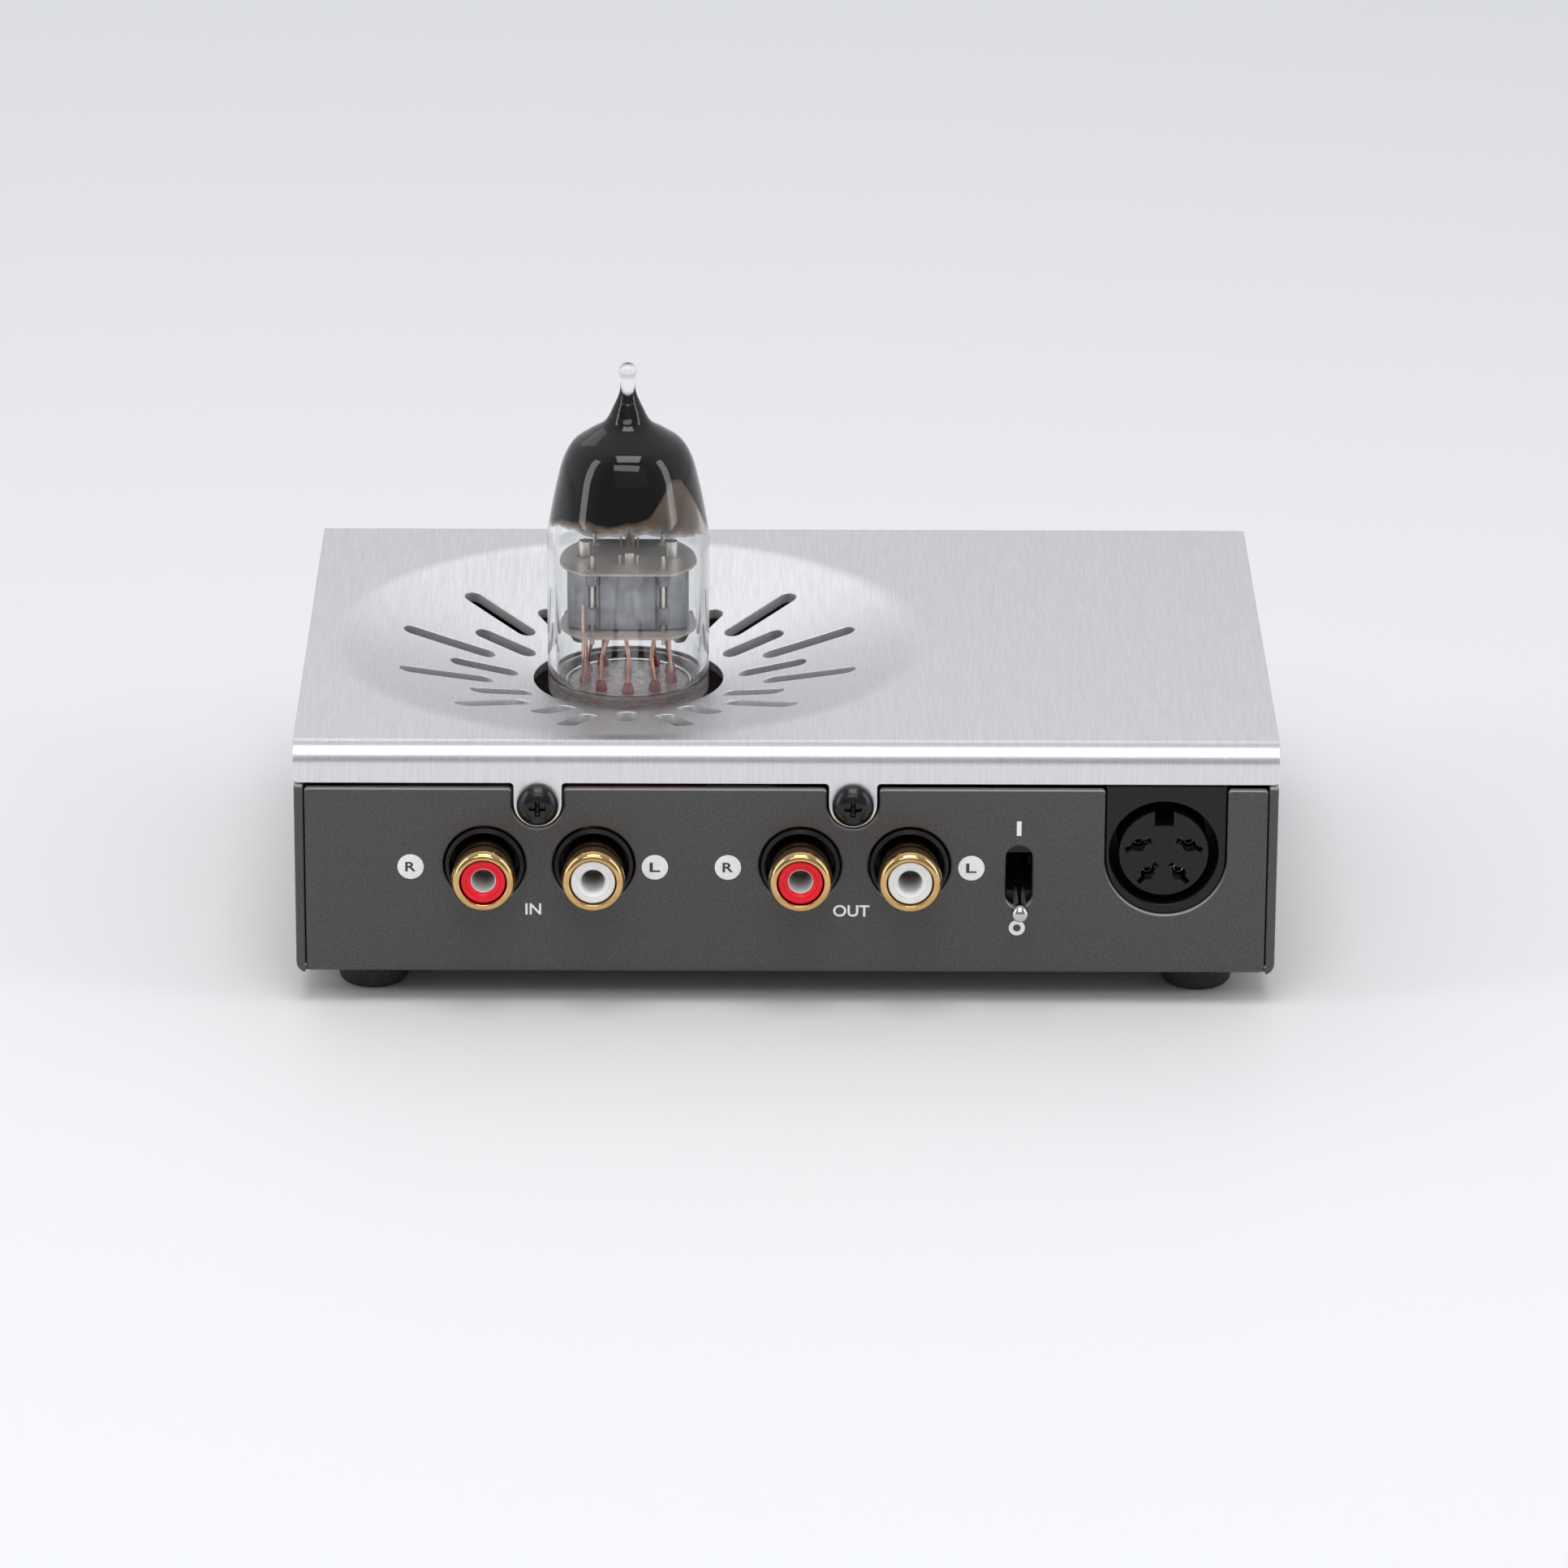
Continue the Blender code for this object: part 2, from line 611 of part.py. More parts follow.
def inlet_outline():
    """The power inlet's cut-out, open at the panel's top edge."""
    centre = (INLET_CUT_X, INLET_CUT_CENTRE_Z)
    outline = arc(centre, INLET_CUT_HALF_WIDTH, 180, 360, 20)
    outline.append((INLET_CUT_X + INLET_CUT_HALF_WIDTH, COVER_TOP))
    outline.append((INLET_CUT_X - INLET_CUT_HALF_WIDTH, COVER_TOP))
    return outline


def tongue_tabs():
    """The joggled tabs that the cover's rear screws bite into, just behind the notches."""
    tabs = []
    top = PANEL_TOP + GAP / 2
    face = PANEL_Y + COVER_SHEET + GAP
    for x in TONGUE_X:
        left = x - TAB_HALF_WIDTH
        right = x + TAB_HALF_WIDTH
        name = f"tab_{len(tabs)}"
        side = [
            (PANEL_Y + TRAY_SHEET / 2, TAB_BOTTOM),
            (face + TRAY_SHEET, TAB_BOTTOM),
            (face + TRAY_SHEET, top),
            (face, top),
            (face, TAB_BOTTOM + 2.5 * GAP),
            (PANEL_Y + TRAY_SHEET / 2, TAB_BOTTOM + 2.5 * GAP),
        ]
        tabs.append(helper(prism_mesh(name, side, "X", left, right)))
    return tabs


def build_tray():
    """The folded steel tray, with its panel cut-outs and the two tabs for the cover's screws."""
    tray = add_object("chassis_tray", tray_block(), "powder_coat")
    through = (PANEL_Y - GAP, PANEL_Y + TRAY_SHEET + GAP)
    panel_holes = [circle((x, JACK_Z), JACK_HOLE, 20) for x in INPUT_X + OUTPUT_X]
    panel_holes.append(toggle_slot(POWER_X, POWER_Z))
    panel_holes.append(inlet_outline())
    tab_holes = [circle((x, TONGUE_CENTRE_Z), SCREW_HOLE, 12) for x in TONGUE_X]
    floor_holes = [circle((x, flange_screw_y()), SCREW_HOLE, 12) for x in FLANGE_SCREW_X]
    cut(tray, *tray_trims())
    cut(
        tray,
        helper(panel_top_trim()),
        helper(many_prisms("panel_holes", panel_holes, "Y", *through)),
        helper(many_prisms("floor_holes", floor_holes, "Z", 0.0, BOARD_TOP)),
    )
    join(tray, *tongue_tabs())
    cut(tray, helper(many_prisms("tab_holes", tab_holes, "Y", PANEL_Y - GAP, PANEL_Y + 4 * COVER_SHEET)))


# --------------------------------------------------- fasteners and supports


def screw_profile(length):
    """A pan-head screw, head up, with its bearing face at height 0."""
    return [
        (0.0, HEAD_HEIGHT),
        (HEAD_RADIUS * 0.55, HEAD_HEIGHT * 0.93),
        (HEAD_RADIUS * 0.88, HEAD_HEIGHT * 0.62),
        (HEAD_RADIUS, HEAD_HEIGHT * 0.2),
        (HEAD_RADIUS, 0.0),
        (SHANK_RADIUS, 0.0),
        (SHANK_RADIUS, -length + SHANK_RADIUS / 2),
        (SHANK_RADIUS / 2, -length),
        (0.0, -length),
    ]


def build_screws():
    """Two screws hold the cover's tongues and two its folded flange."""
    for side, x in zip(("left", "right"), TONGUE_X):
        seat = (x, PANEL_Y - GAP, TONGUE_CENTRE_Z)
        lathe(f"cover_screw_{side}", screw_profile(5.5 * MM), "black_screw", seat, "-Y", 14)
    for side, x in zip(("left", "right"), FLANGE_SCREW_X):
        seat = (x, flange_screw_y(), TRAY_UNDERSIDE - GAP)
        lathe(f"flange_screw_{side}", screw_profile(3.6 * MM), "black_screw", seat, "-Z", 10)


def build_feet():
    """Four stick-on rubber feet under the tray's corners."""
    height = TRAY_UNDERSIDE - GAP
    profile = [
        (0.0, 0.0),
        (FOOT_RADIUS - 0.9 * MM, 0.0),
        (FOOT_RADIUS - 0.5 * MM, 0.4 * MM),
        (FOOT_RADIUS, height - 0.4 * MM),
        (FOOT_RADIUS, height),
        (0.0, height),
    ]
    x = BODY_WIDTH / 2 - FOOT_INSET
    places = {
        "rear_left": (-x, PANEL_Y + FOOT_INSET),
        "rear_right": (x, PANEL_Y + FOOT_INSET),
        "front_left": (-x, FRONT_Y - FOOT_INSET),
        "front_right": (x, FRONT_Y - FOOT_INSET),
    }
    for where, (foot_x, foot_y) in places.items():
        lathe(f"foot_{where}", profile, "foot_rubber", (foot_x, foot_y, 0.0), segments=16)


def board_fixings():
    """The board's four fixing points, by name."""
    points = {}
    for row, from_panel in zip(("rear", "front"), BOARD_HOLES_FROM_PANEL):
        for side, x in (("left", -BOARD_HOLE_X), ("right", BOARD_HOLE_X)):
            points[f"{row}_{side}"] = (x, PANEL_Y + from_panel)
    return points


def build_board():
    """The circuit board, with a spacer and a screw at each corner."""
    half = BOARD_WIDTH / 2
    low = BOARD_TOP - BOARD_THICKNESS
    outline = rounded_rectangle(-half, half, PANEL_Y + 1.8 * MM, FRONT_Y - 3.5 * MM, 1.5 * MM)
    board = prism("main_board", outline, "board_laminate", "Z", low, BOARD_TOP)
    holes = [circle(place, SCREW_HOLE, 8) for place in board_fixings().values()]
    cut(board, helper(many_prisms("board_holes", holes, "Z", low - GAP, BOARD_TOP + GAP)))

    spacer_top = low - FLOOR_TOP - 2 * GAP
    spacer = [(2.9 * MM, 0.0), (2.9 * MM, spacer_top), (SCREW_HOLE, spacer_top), (SCREW_HOLE, 0.0)]
    for where, (x, y) in board_fixings().items():
        foot = (x, y, FLOOR_TOP + GAP)
        lathe(f"standoff_{where}", spacer, "brass", foot, segments=10, closed=True)
        seat = (x, y, BOARD_TOP + GAP)
        lathe(f"board_screw_{where}", screw_profile(3.8 * MM), "plated_steel", seat, segments=8)


def build_capacitors():
    """Reservoir capacitors on the board, each with the usual beaded waist."""
    radius = CAN_RADIUS
    waist = radius - 0.5 * MM
    profile = [
        (0.0, 0.0),
        (radius, 0.0),
        (radius, 1.2 * MM),
        (waist, 1.8 * MM),
        (radius, 2.4 * MM),
        (radius, CAN_HEIGHT - 0.4 * MM),
        (radius - 0.4 * MM, CAN_HEIGHT),
        (0.0, CAN_HEIGHT),
    ]
    for number, (x, from_panel) in enumerate(CAN_PLACES, 1):
        place = (x, PANEL_Y + from_panel, BOARD_TOP + GAP)
        lathe(f"reservoir_capacitor_{number}", profile, "can_sleeve", place, segments=12)


# ------------------------------------------------------------ phono jacks


def build_phono_pair(name, places):
    """A moulded body behind the panel, whose round bosses fill two of its holes."""
    left = places[0] - 6.4 * MM
    right = places[1] + 6.4 * MM
    block_face = PANEL_Y + 3.4 * MM
    outline = rounded_rectangle(left, right, BOARD_TOP + GAP, 25.2 * MM, 0.6 * MM, 1)
    body = prism(name, outline, "black_plastic", "Y", block_face, PANEL_Y + 13.5 * MM)
    boss = [(0.0, -1.0 * MM), (BOSS_RADIUS, -1.0 * MM), (BOSS_RADIUS, 3.4 * MM), (0.0, 3.4 * MM)]
    bore = SHELL_RADIUS + GAP
    socket = [(0.0, 0.0), (bore, 0.0), (bore, 6.0 * MM), (0.0, 6.0 * MM)]
    for i, x in enumerate(places):
        seat = (x, block_face, JACK_Z)
        join(body, helper(lathe_mesh(f"{name}_boss_{i}", boss, "-Y", 20), seat))
    for i, x in enumerate(places):
        seat = (x, block_face, JACK_Z)
        cut(body, helper(lathe_mesh(f"{name}_socket_{i}", socket, "-Y", 20), seat))


def build_phono_fronts(name, x, insulator_finish):
    """The gold-plated shell of one jack, and the coloured insulator with its round bore."""
    back = -3.0 * MM
    lip = 0.45 * MM
    shell = [
        (SHELL_BORE, back),
        (SHELL_RADIUS, back),
        (SHELL_RADIUS, SHELL_REACH - lip),
        (SHELL_RADIUS - lip, SHELL_REACH),
        (SHELL_BORE + 0.2 * MM, SHELL_REACH),
        (SHELL_BORE, SHELL_REACH - 0.2 * MM),
    ]
    face = SHELL_REACH - 0.35 * MM
    insulator = [
        (0.0, back),
        (INSULATOR_RADIUS, back),
        (INSULATOR_RADIUS, face),
        (INSULATOR_BORE + 0.25 * MM, face),
        (INSULATOR_BORE, face - 0.25 * MM),
        (INSULATOR_BORE, back + 1.5 * MM),
        (0.0, back + 1.5 * MM),
    ]
    seat = (x, PANEL_Y, JACK_Z)
    lathe(f"{name}_shell", shell, "gold_plate", seat, "-Y", 24, closed=True)
    lathe(f"{name}_insulator", insulator, insulator_finish, seat, "-Y", 16)


def build_phono_jacks():
    """A pair of inputs and a pair of outputs, each with a red and a white jack."""
    for name, places in (("input", INPUT_X), ("output", OUTPUT_X)):
        build_phono_pair(f"{name}_jack_body", places)
        build_phono_fronts(f"{name}_right", places[0], "red_insulator")
        build_phono_fronts(f"{name}_left", places[1], "white_insulator")


# --------------------------------------------------------- toggle switches


def build_toggle(name, x, wall_y, z, outwards):
    """A switch body behind a wall, and its lever, which leans down by its throw at rest.

    outwards is -1 for the jack panel and 1 for the control front.
    """
    pivot_y = wall_y - outwards * PIVOT_DEPTH
    face_y = wall_y - outwards * 2.2 * MM
    back_y = wall_y - outwards * 12.0 * MM
    low, high = sorted((face_y, back_y))
    outline = rounded_rectangle(x - 3.4 * MM, x + 3.4 * MM, BOARD_TOP + GAP, z + 6.5 * MM, 0.5 * MM, 1)
    body = prism(f"{name}_switch", outline, "black_plastic", "Y", low, high)

    room = 1.75 * MM
    mouth = 2.7 * MM
    beyond = face_y + outwards * GAP
    throat = arc((pivot_y, z), room, 90, 270, 6)
    if outwards < 0:
        throat = [(2 * pivot_y - u, v) for u, v in throat]
    throat += [(beyond, z - mouth), (beyond, z + mouth)]
    cut(body, helper(prism_mesh(f"{name}_throat", throat, "X", x - room, x + room)))

    tip = LEVER_TIP_RADIUS
    neck = 0.72 * MM
    root = 1.3 * MM
    profile = [(0.0, -root)]
    profile += [(root * math.cos(a), root * math.sin(a)) for a in np.radians((-60, -30, 0, 30))]
    profile += [(0.85 * MM, 1.6 * MM), (neck, 0.55 * LEVER_LENGTH)]
    profile += [
        (tip * math.cos(a), LEVER_LENGTH + tip * math.sin(a)) for a in np.radians((-45, 0, 45))
    ]
    profile.append((0.0, LEVER_LENGTH + tip))
    axis = "+Y" if outwards > 0 else "-Y"
    lever = lathe(f"{name}_lever", profile, "chrome", (x, pivot_y, z), axis, 10)
    lever.rotation_euler.x = -outwards * math.radians(LEVER_THROW)


# ------------------------------------------------------------- power inlet


def build_inlet():
    """The round four-contact inlet: a ring groove with a key, and a slitted hole for each contact."""
    half = INLET_CUT_HALF_WIDTH - GAP
    behind = PANEL_Y + COVER_SHEET + GAP
    left, right = INLET_CUT_X - half, INLET_CUT_X + half
    outline = rectangle(left, right, BOARD_TOP + GAP, 32.5 * MM)
    inlet = prism("power_inlet", outline, "black_plastic", "Y", behind, PANEL_Y + 14.0 * MM)
    nose = arc((INLET_CUT_X, INLET_CUT_CENTRE_Z), half, 180, 360, 20)
    nose += [(right, LIP_BOTTOM - GAP), (left, LIP_BOTTOM - GAP)]
    face = PANEL_Y + GAP
    join(inlet, helper(prism_mesh("inlet_nose", nose, "Y", face, behind + GAP)))

    inner, outer = INLET_GROOVE
    clear = 1.0 * MM
    groove = [(inner, -INLET_DEPTH), (outer, -INLET_DEPTH), (outer, clear), (inner, clear)]
    centre = (INLET_X, face, INLET_Z)
    key_top = (inner + outer) / 2
    key = rectangle(-INLET_KEY_HALF_WIDTH, INLET_KEY_HALF_WIDTH, INLET_KEY_BOTTOM, key_top)
    ends = (-clear, INLET_DEPTH)
    length, width = INLET_SLIT
    contacts = []
    slits = []
    for angle, lean in INLET_CONTACTS:
        turn = math.radians(angle)
        spot = (INLET_CONTACT_CIRCLE * math.cos(turn), INLET_CONTACT_CIRCLE * math.sin(turn))
        contacts.append(circle(spot, INLET_CONTACT_RADIUS, 10))
        slit = obround(-length / 2, length / 2, width, lean, 1)
        slits.append([(spot[0] + u, spot[1] + v) for u, v in slit])
    cut(
        inlet,
        helper(lathe_mesh("inlet_groove", groove, "-Y", 24, closed=True), centre),
        helper(prism_mesh("inlet_key", key, "Y", *ends), centre),
        helper(many_prisms("inlet_contacts", contacts, "Y", *ends), centre),
        helper(many_prisms("inlet_slits", slits, "Y", -clear, INLET_DEPTH / 4), centre),
    )


# ---------------------------------------------------------- front controls


def build_headphone_jack():
    """A board-mounted jack whose threaded bush passes the front and takes a ring nut."""
    back = FRONT_Y - 30.0 * MM
    face = FRONT_Y - COVER_SHEET - GAP
    outline = rounded_rectangle(
        PHONES_X - 7.8 * MM, PHONES_X + 7.8 * MM, BOARD_TOP + GAP, CONTROL_Z + 8.0 * MM, 1.0 * MM, 2
    )
    jack = prism("headphone_jack", outline, "black_plastic", "Y", back, face)
    nose = 2.6 * MM
    bush = [(0.0, -6.0 * MM), (PHONES_BUSH, -6.0 * MM), (PHONES_BUSH, nose), (0.0, nose)]
    bore = [(0.0, -27.0 * MM), (PHONES_BORE, -27.0 * MM), (PHONES_BORE, 4.0 * MM), (0.0, 4.0 * MM)]
    seat = (PHONES_X, FRONT_Y, CONTROL_Z)
    join(jack, helper(lathe_mesh("phones_bush", bush, "+Y", 20), seat))
    cut(jack, helper(lathe_mesh("phones_bore", bore, "+Y", 20), seat))

    inner = PHONES_BUSH + GAP
    outer = PHONES_BUSH + 2.1 * MM
    ring = [
        (inner, GAP),
        (outer, GAP),
        (outer, 1.7 * MM),
        (outer - 0.4 * MM, 2.1 * MM),
        (inner, 2.1 * MM),
    ]
    lathe("headphone_nut", ring, "plated_steel", seat, "+Y", 20, closed=True)


def build_volume():
    """The volume control: body with bush and nut, then the shaft and knob that turn together."""
    bush_nose = 3.0 * MM
    face = FRONT_Y - COVER_SHEET - GAP
    outline = rounded_rectangle(
        VOLUME_X - 5.5 * MM, VOLUME_X + 5.5 * MM, BOARD_TOP + GAP, CONTROL_Z + 6.0 * MM, 0.8 * MM, 2
    )
    body = prism("volume_control", outline, "black_plastic", "Y", face - 9.0 * MM, face)
    seat = (VOLUME_X, FRONT_Y, CONTROL_Z)
    bush = [(0.0, -4.0 * MM), (POT_BUSH, -4.0 * MM), (POT_BUSH, bush_nose), (0.0, bush_nose)]
    bore = SHAFT_RADIUS - 0.7 * MM + GAP
    way = [(0.0, -8.0 * MM), (bore, -8.0 * MM), (bore, 5.0 * MM), (0.0, 5.0 * MM)]
    join(body, helper(lathe_mesh("pot_bush", bush, "+Y", 16), seat))
    cut(body, helper(lathe_mesh("pot_way", way, "+Y", 16), seat))

    nut_outline = circle((0.0, 0.0), 5.4 * MM, 6)
    nut = prism("volume_nut", nut_outline, "plated_steel", "Y", GAP, 2.2 * MM, seat)
    nut_bore = circle((0.0, 0.0), POT_BUSH + GAP, 16)
    cut(nut, helper(prism_mesh("nut_bore", nut_bore, "Y", -GAP, 3.0 * MM), seat))

    pivot = add_pivot("volume_axis", seat)
    slim = SHAFT_RADIUS - 0.7 * MM
    shaft = [
        (0.0, -7.4 * MM),
        (slim, -7.4 * MM),
        (slim, bush_nose + GAP),
        (SHAFT_RADIUS, bush_nose + GAP),
        (SHAFT_RADIUS, 10.5 * MM),
        (0.0, 10.5 * MM),
    ]
    lathe("volume_shaft", shaft, "plated_steel", (0.0, 0.0, 0.0), "+Y", 16, parent=pivot)
    recess = 6.4 * MM
    end = KNOB_GAP + KNOB_LENGTH
    knob = [
        (0.0, end),
        (KNOB_RADIUS - 0.9 * MM, end),
        (KNOB_RADIUS - 0.25 * MM, end - 0.25 * MM),
        (KNOB_RADIUS, end - 0.9 * MM),
        (KNOB_RADIUS, KNOB_GAP),
        (recess, KNOB_GAP),
        (recess, bush_nose + 1.0 * MM),
        (SHAFT_RADIUS + GAP, bush_nose + 1.0 * MM),
        (SHAFT_RADIUS + GAP, 10.8 * MM),
        (0.0, 10.8 * MM),
    ]
    turned = lathe("volume_knob", knob, "brushed_aluminium", (0.0, 0.0, 0.0), "+Y", 24, parent=pivot)
    mark = rectangle(-0.5 * MM, 0.5 * MM, 3.2 * MM, KNOB_RADIUS + GAP)
    cut(turned, helper(prism_mesh("pointer_groove", mark, "Y", end - 0.5 * MM, end + GAP), seat))


def build_lamp():
    """A small lamp in an upright holder on the board, its dome in a hole of the front."""
    seat = (LED_X, FRONT_Y, CONTROL_Z)
    dome = [(0.0, -5.0 * MM), (LED_RADIUS, -5.0 * MM), (LED_RADIUS, -0.6 * MM)]
    dome += [(LED_RADIUS * math.cos(a), -0.6 * MM + LED_RADIUS * math.sin(a)) for a in np.radians((30, 60))]
    dome.append((0.0, -0.6 * MM + LED_RADIUS))
    lathe("status_lamp", dome, "lamp_lens", seat, "+Y", 12)
    outline = rectangle(LED_X - 2.4 * MM, LED_X + 2.4 * MM, BOARD_TOP + GAP, CONTROL_Z + 2.6 * MM)
    holder = prism("lamp_holder", outline, "black_plastic", "Y", FRONT_Y - 7.5 * MM, FRONT_Y - 2.0 * MM)
    bore = [(0.0, -5.4 * MM), (LED_RADIUS + GAP, -5.4 * MM), (LED_RADIUS + GAP, 0.0), (0.0, 0.0)]
    cut(holder, helper(lathe_mesh("lamp_bore", bore, "+Y", 12), seat))


# -------------------------------------------------------------------- tube


def pin_places():
    """The nine pins stand on a circle of ten places, and the empty place is the key."""
    step = 2.0 * math.pi / SOCKET_PLACES
    angles = [math.pi / 2 + step * k for k in range(1, SOCKET_PLACES)]
    return [(PIN_CIRCLE * math.cos(a), PIN_CIRCLE * math.sin(a)) for a in angles]


def build_socket():
    """The nine-pin tube socket that stands on the board, with its pin ways and centre hole."""
    low = BOARD_TOP + GAP
    top = GLASS_BOTTOM - GAP
    skirt = 13.0 * MM
    profile = [
        (0.0, low),
        (SOCKET_RADIUS - 2.5 * MM, low),
        (SOCKET_RADIUS - 2.5 * MM, skirt),
        (SOCKET_RADIUS, skirt + 1.5 * MM),
        (SOCKET_RADIUS, top - 0.5 * MM),
        (SOCKET_RADIUS - 0.5 * MM, top),
        (0.0, top),
    ]
    socket = lathe("tube_socket", profile, "socket_plastic", (TUBE_X, TUBE_Y, 0.0), segments=24)
    holes = [circle(place, PIN_RADIUS + 0.35 * MM, 6) for place in pin_places()]
    holes.append(circle((0.0, 0.0), 1.6 * MM, 12))
    way = many_prisms("pin_ways", holes, "Z", PIN_BOTTOM - 1.0 * MM, top + GAP)
    cut(socket, helper(way, (TUBE_X, TUBE_Y, 0.0)))


def envelope_profile():
    """The blown glass from its open base up the outside to the sealed tip, and down the inside."""
    inner = GLASS_RADIUS - GLASS_WALL
    straight = STRAIGHT_TOP - GLASS_BOTTOM
    return [
        (GLASS_RADIUS - 0.5 * MM, 0.0),
        (GLASS_RADIUS - 0.1 * MM, 0.5 * MM),
        (GLASS_RADIUS, 1.2 * MM),
        (GLASS_RADIUS, straight),
        (10.2 * MM, 25.5 * MM),
        (9.4 * MM, 29.4 * MM),
        (8.6 * MM, 32.4 * MM),
        (7.3 * MM, 34.7 * MM),
        (5.2 * MM, 36.2 * MM),
        (3.1 * MM, 37.6 * MM),
        (1.9 * MM, 39.8 * MM),
        (1.1 * MM, 41.8 * MM),
        (1.0 * MM, 43.6 * MM),
        (1.2 * MM, 44.6 * MM),
        (0.85 * MM, 45.5 * MM),
        (0.0, 45.8 * MM),
        (0.0, 36.4 * MM),
        (4.0 * MM, 35.5 * MM),
        (6.5 * MM, 33.8 * MM),
        (8.4 * MM, 29.0 * MM),
        (inner, straight),
        (inner, 0.0),
    ]


def mica_outline():
    """A round sheet cut flat at front and back."""
    lean = math.degrees(math.asin(MICA_HALF_DEPTH / MICA_RADIUS))
    right = arc((0.0, 0.0), MICA_RADIUS, -lean, lean, 6)
    left = arc((0.0, 0.0), MICA_RADIUS, 180 - lean, 180 + lean, 6)
    return right + left


def build_tube():
    """The tube: stem with pins, glass, and the electrode cage between two mica sheets."""
    pivot = add_pivot("tube_axis", (TUBE_X, TUBE_Y, GLASS_BOTTOM))
    here = (0.0, 0.0, 0.0)
    lathe("glass_envelope", envelope_profile(), "clear_glass", here, segments=24, closed=True, parent=pivot)

    button_radius = GLASS_RADIUS - GLASS_WALL - GAP
    button = [
        (0.0, 0.1 * MM),
        (button_radius, 0.1 * MM),
        (button_radius, 1.9 * MM),
        (button_radius - 0.8 * MM, 2.5 * MM),
        (0.0, 2.2 * MM),
    ]
    stem = lathe("tube_stem", button, "clear_glass", here, segments=24, parent=pivot)
    pins = [circle(place, PIN_RADIUS, 6) for place in pin_places()]
    leads = [circle(place, PIN_RADIUS * 0.6, 4) for place in pin_places()]
    place = (TUBE_X, TUBE_Y, 0.0)
    join(
        stem,
        helper(many_prisms("stem_pins", pins, "Z", PIN_BOTTOM, GLASS_BOTTOM + 1.0 * MM), place),
        helper(many_prisms("stem_leads", leads, "Z", GLASS_BOTTOM + 1.5 * MM, LEAD_TOP), place),
    )

    rods = [(sx * ANODE_ROD_X, sy * (ANODE_HALF_DEPTH + ROD_RADIUS)) for sx in (-1, 1) for sy in (-1, 1)]
    cathodes = [(-CATHODE_X, 0.0), (CATHODE_X, 0.0)]
    for name, level in (("lower_mica", LOWER_MICA_Z), ("upper_mica", UPPER_MICA_Z)):
        low = level - GLASS_BOTTOM
        sheet = prism(name, mica_outline(), "mica", "Z", low, low + MICA_THICKNESS, here, pivot)
        holes = [circle(rod, ROD_RADIUS + GAP, 6) for rod in rods]
        holes += [circle(spot, CATHODE_RADIUS + GAP, 8) for spot in cathodes]
        way = many_prisms(f"{name}_holes", holes, "Z", level - GAP, level + MICA_THICKNESS + GAP)
        cut(sheet, helper(way, place))

    low = LOWER_MICA_Z + MICA_THICKNESS + GAP
    high = UPPER_MICA_Z - GAP
    rod_ends = (LOWER_MICA_Z - 1.1 * MM, UPPER_MICA_Z + 2.2 * MM)
    for side, sx in (("left", -1), ("right", 1)):
        edges = sorted((sx * ANODE_INNER, sx * ANODE_HALF_SPAN))
        depth = ANODE_HALF_DEPTH
        outline = rounded_rectangle(*edges, -depth, depth, 1.6 * MM, 3)
        anode = prism(
            f"anode_{side}", outline, "anode_grey", "Z", low - GLASS_BOTTOM, high - GLASS_BOTTOM, here, pivot
        )
        inside = depth - ANODE_SHEET
        near, far = edges[0] + ANODE_SHEET, edges[1] - ANODE_SHEET
        hollow = rounded_rectangle(near, far, -inside, inside, 1.1 * MM, 3)
        cut(anode, helper(prism_mesh(f"anode_{side}_hollow", hollow, "Z", low - GAP, high + GAP), place))
        for end, sy in (("rear", -1), ("front", 1)):
            rod = circle((sx * ANODE_ROD_X, sy * (depth + ROD_RADIUS / 2)), ROD_RADIUS, 6)
            join(anode, helper(prism_mesh(f"anode_{side}_{end}_rod", rod, "Z", *rod_ends), place))
        tube = [(CATHODE_RADIUS, LOWER_MICA_Z - 0.8 * MM), (CATHODE_RADIUS, UPPER_MICA_Z + 2.6 * MM)]
        sleeve = [(0.0, tube[0][1]), *tube, (0.0, tube[1][1])]
        sleeve = [(radius, height - GLASS_BOTTOM) for radius, height in sleeve]
        spot = (sx * CATHODE_X, 0.0, 0.0)
        lathe(f"cathode_{side}", sleeve, "nickel", spot, segments=8, parent=pivot)

    build_shield(pivot, low - GLASS_BOTTOM, high - GLASS_BOTTOM)
    build_getter(pivot)


def build_shield(pivot, low, high):
    """The folded screen between the two halves of the tube: two faces and the web that joins them."""
    half = ANODE_INNER - 2 * GAP
    depth = ANODE_HALF_DEPTH - GAP
    web = ANODE_SHEET / 2
    face = depth - ANODE_SHEET
    outline = [
        (-half, -depth),
        (half, -depth),
        (half, -face),
        (web, -face),
        (web, face),
        (half, face),
        (half, depth),
        (-half, depth),
        (-half, face),
        (-web, face),
        (-web, -face),
        (-half, -face),
    ]
    prism("anode_screen", outline, "anode_grey", "Z", low, high, (0.0, 0.0, 0.0), pivot)


def build_getter(pivot):
    """The getter: a wire ring under the dome, carried by one post from the upper mica."""
    ring_radius = 3.4 * MM
    wire = 0.45 * MM
    ring_z = 57.5 * MM - GLASS_BOTTOM
    section = [(ring_radius + u, ring_z + v) for u, v in circle((0.0, 0.0), wire, 5)]
    getter = lathe("getter_ring", section, "nickel", (0.0, 0.0, 0.0), segments=14, closed=True, parent=pivot)
    post = circle((0.0, ring_radius), 0.4 * MM, 6)
    foot = UPPER_MICA_Z + MICA_THICKNESS + GAP
    top = ring_z + GLASS_BOTTOM
    join(getter, helper(prism_mesh("getter_post", post, "Z", foot, top), (TUBE_X, TUBE_Y, 0.0)))


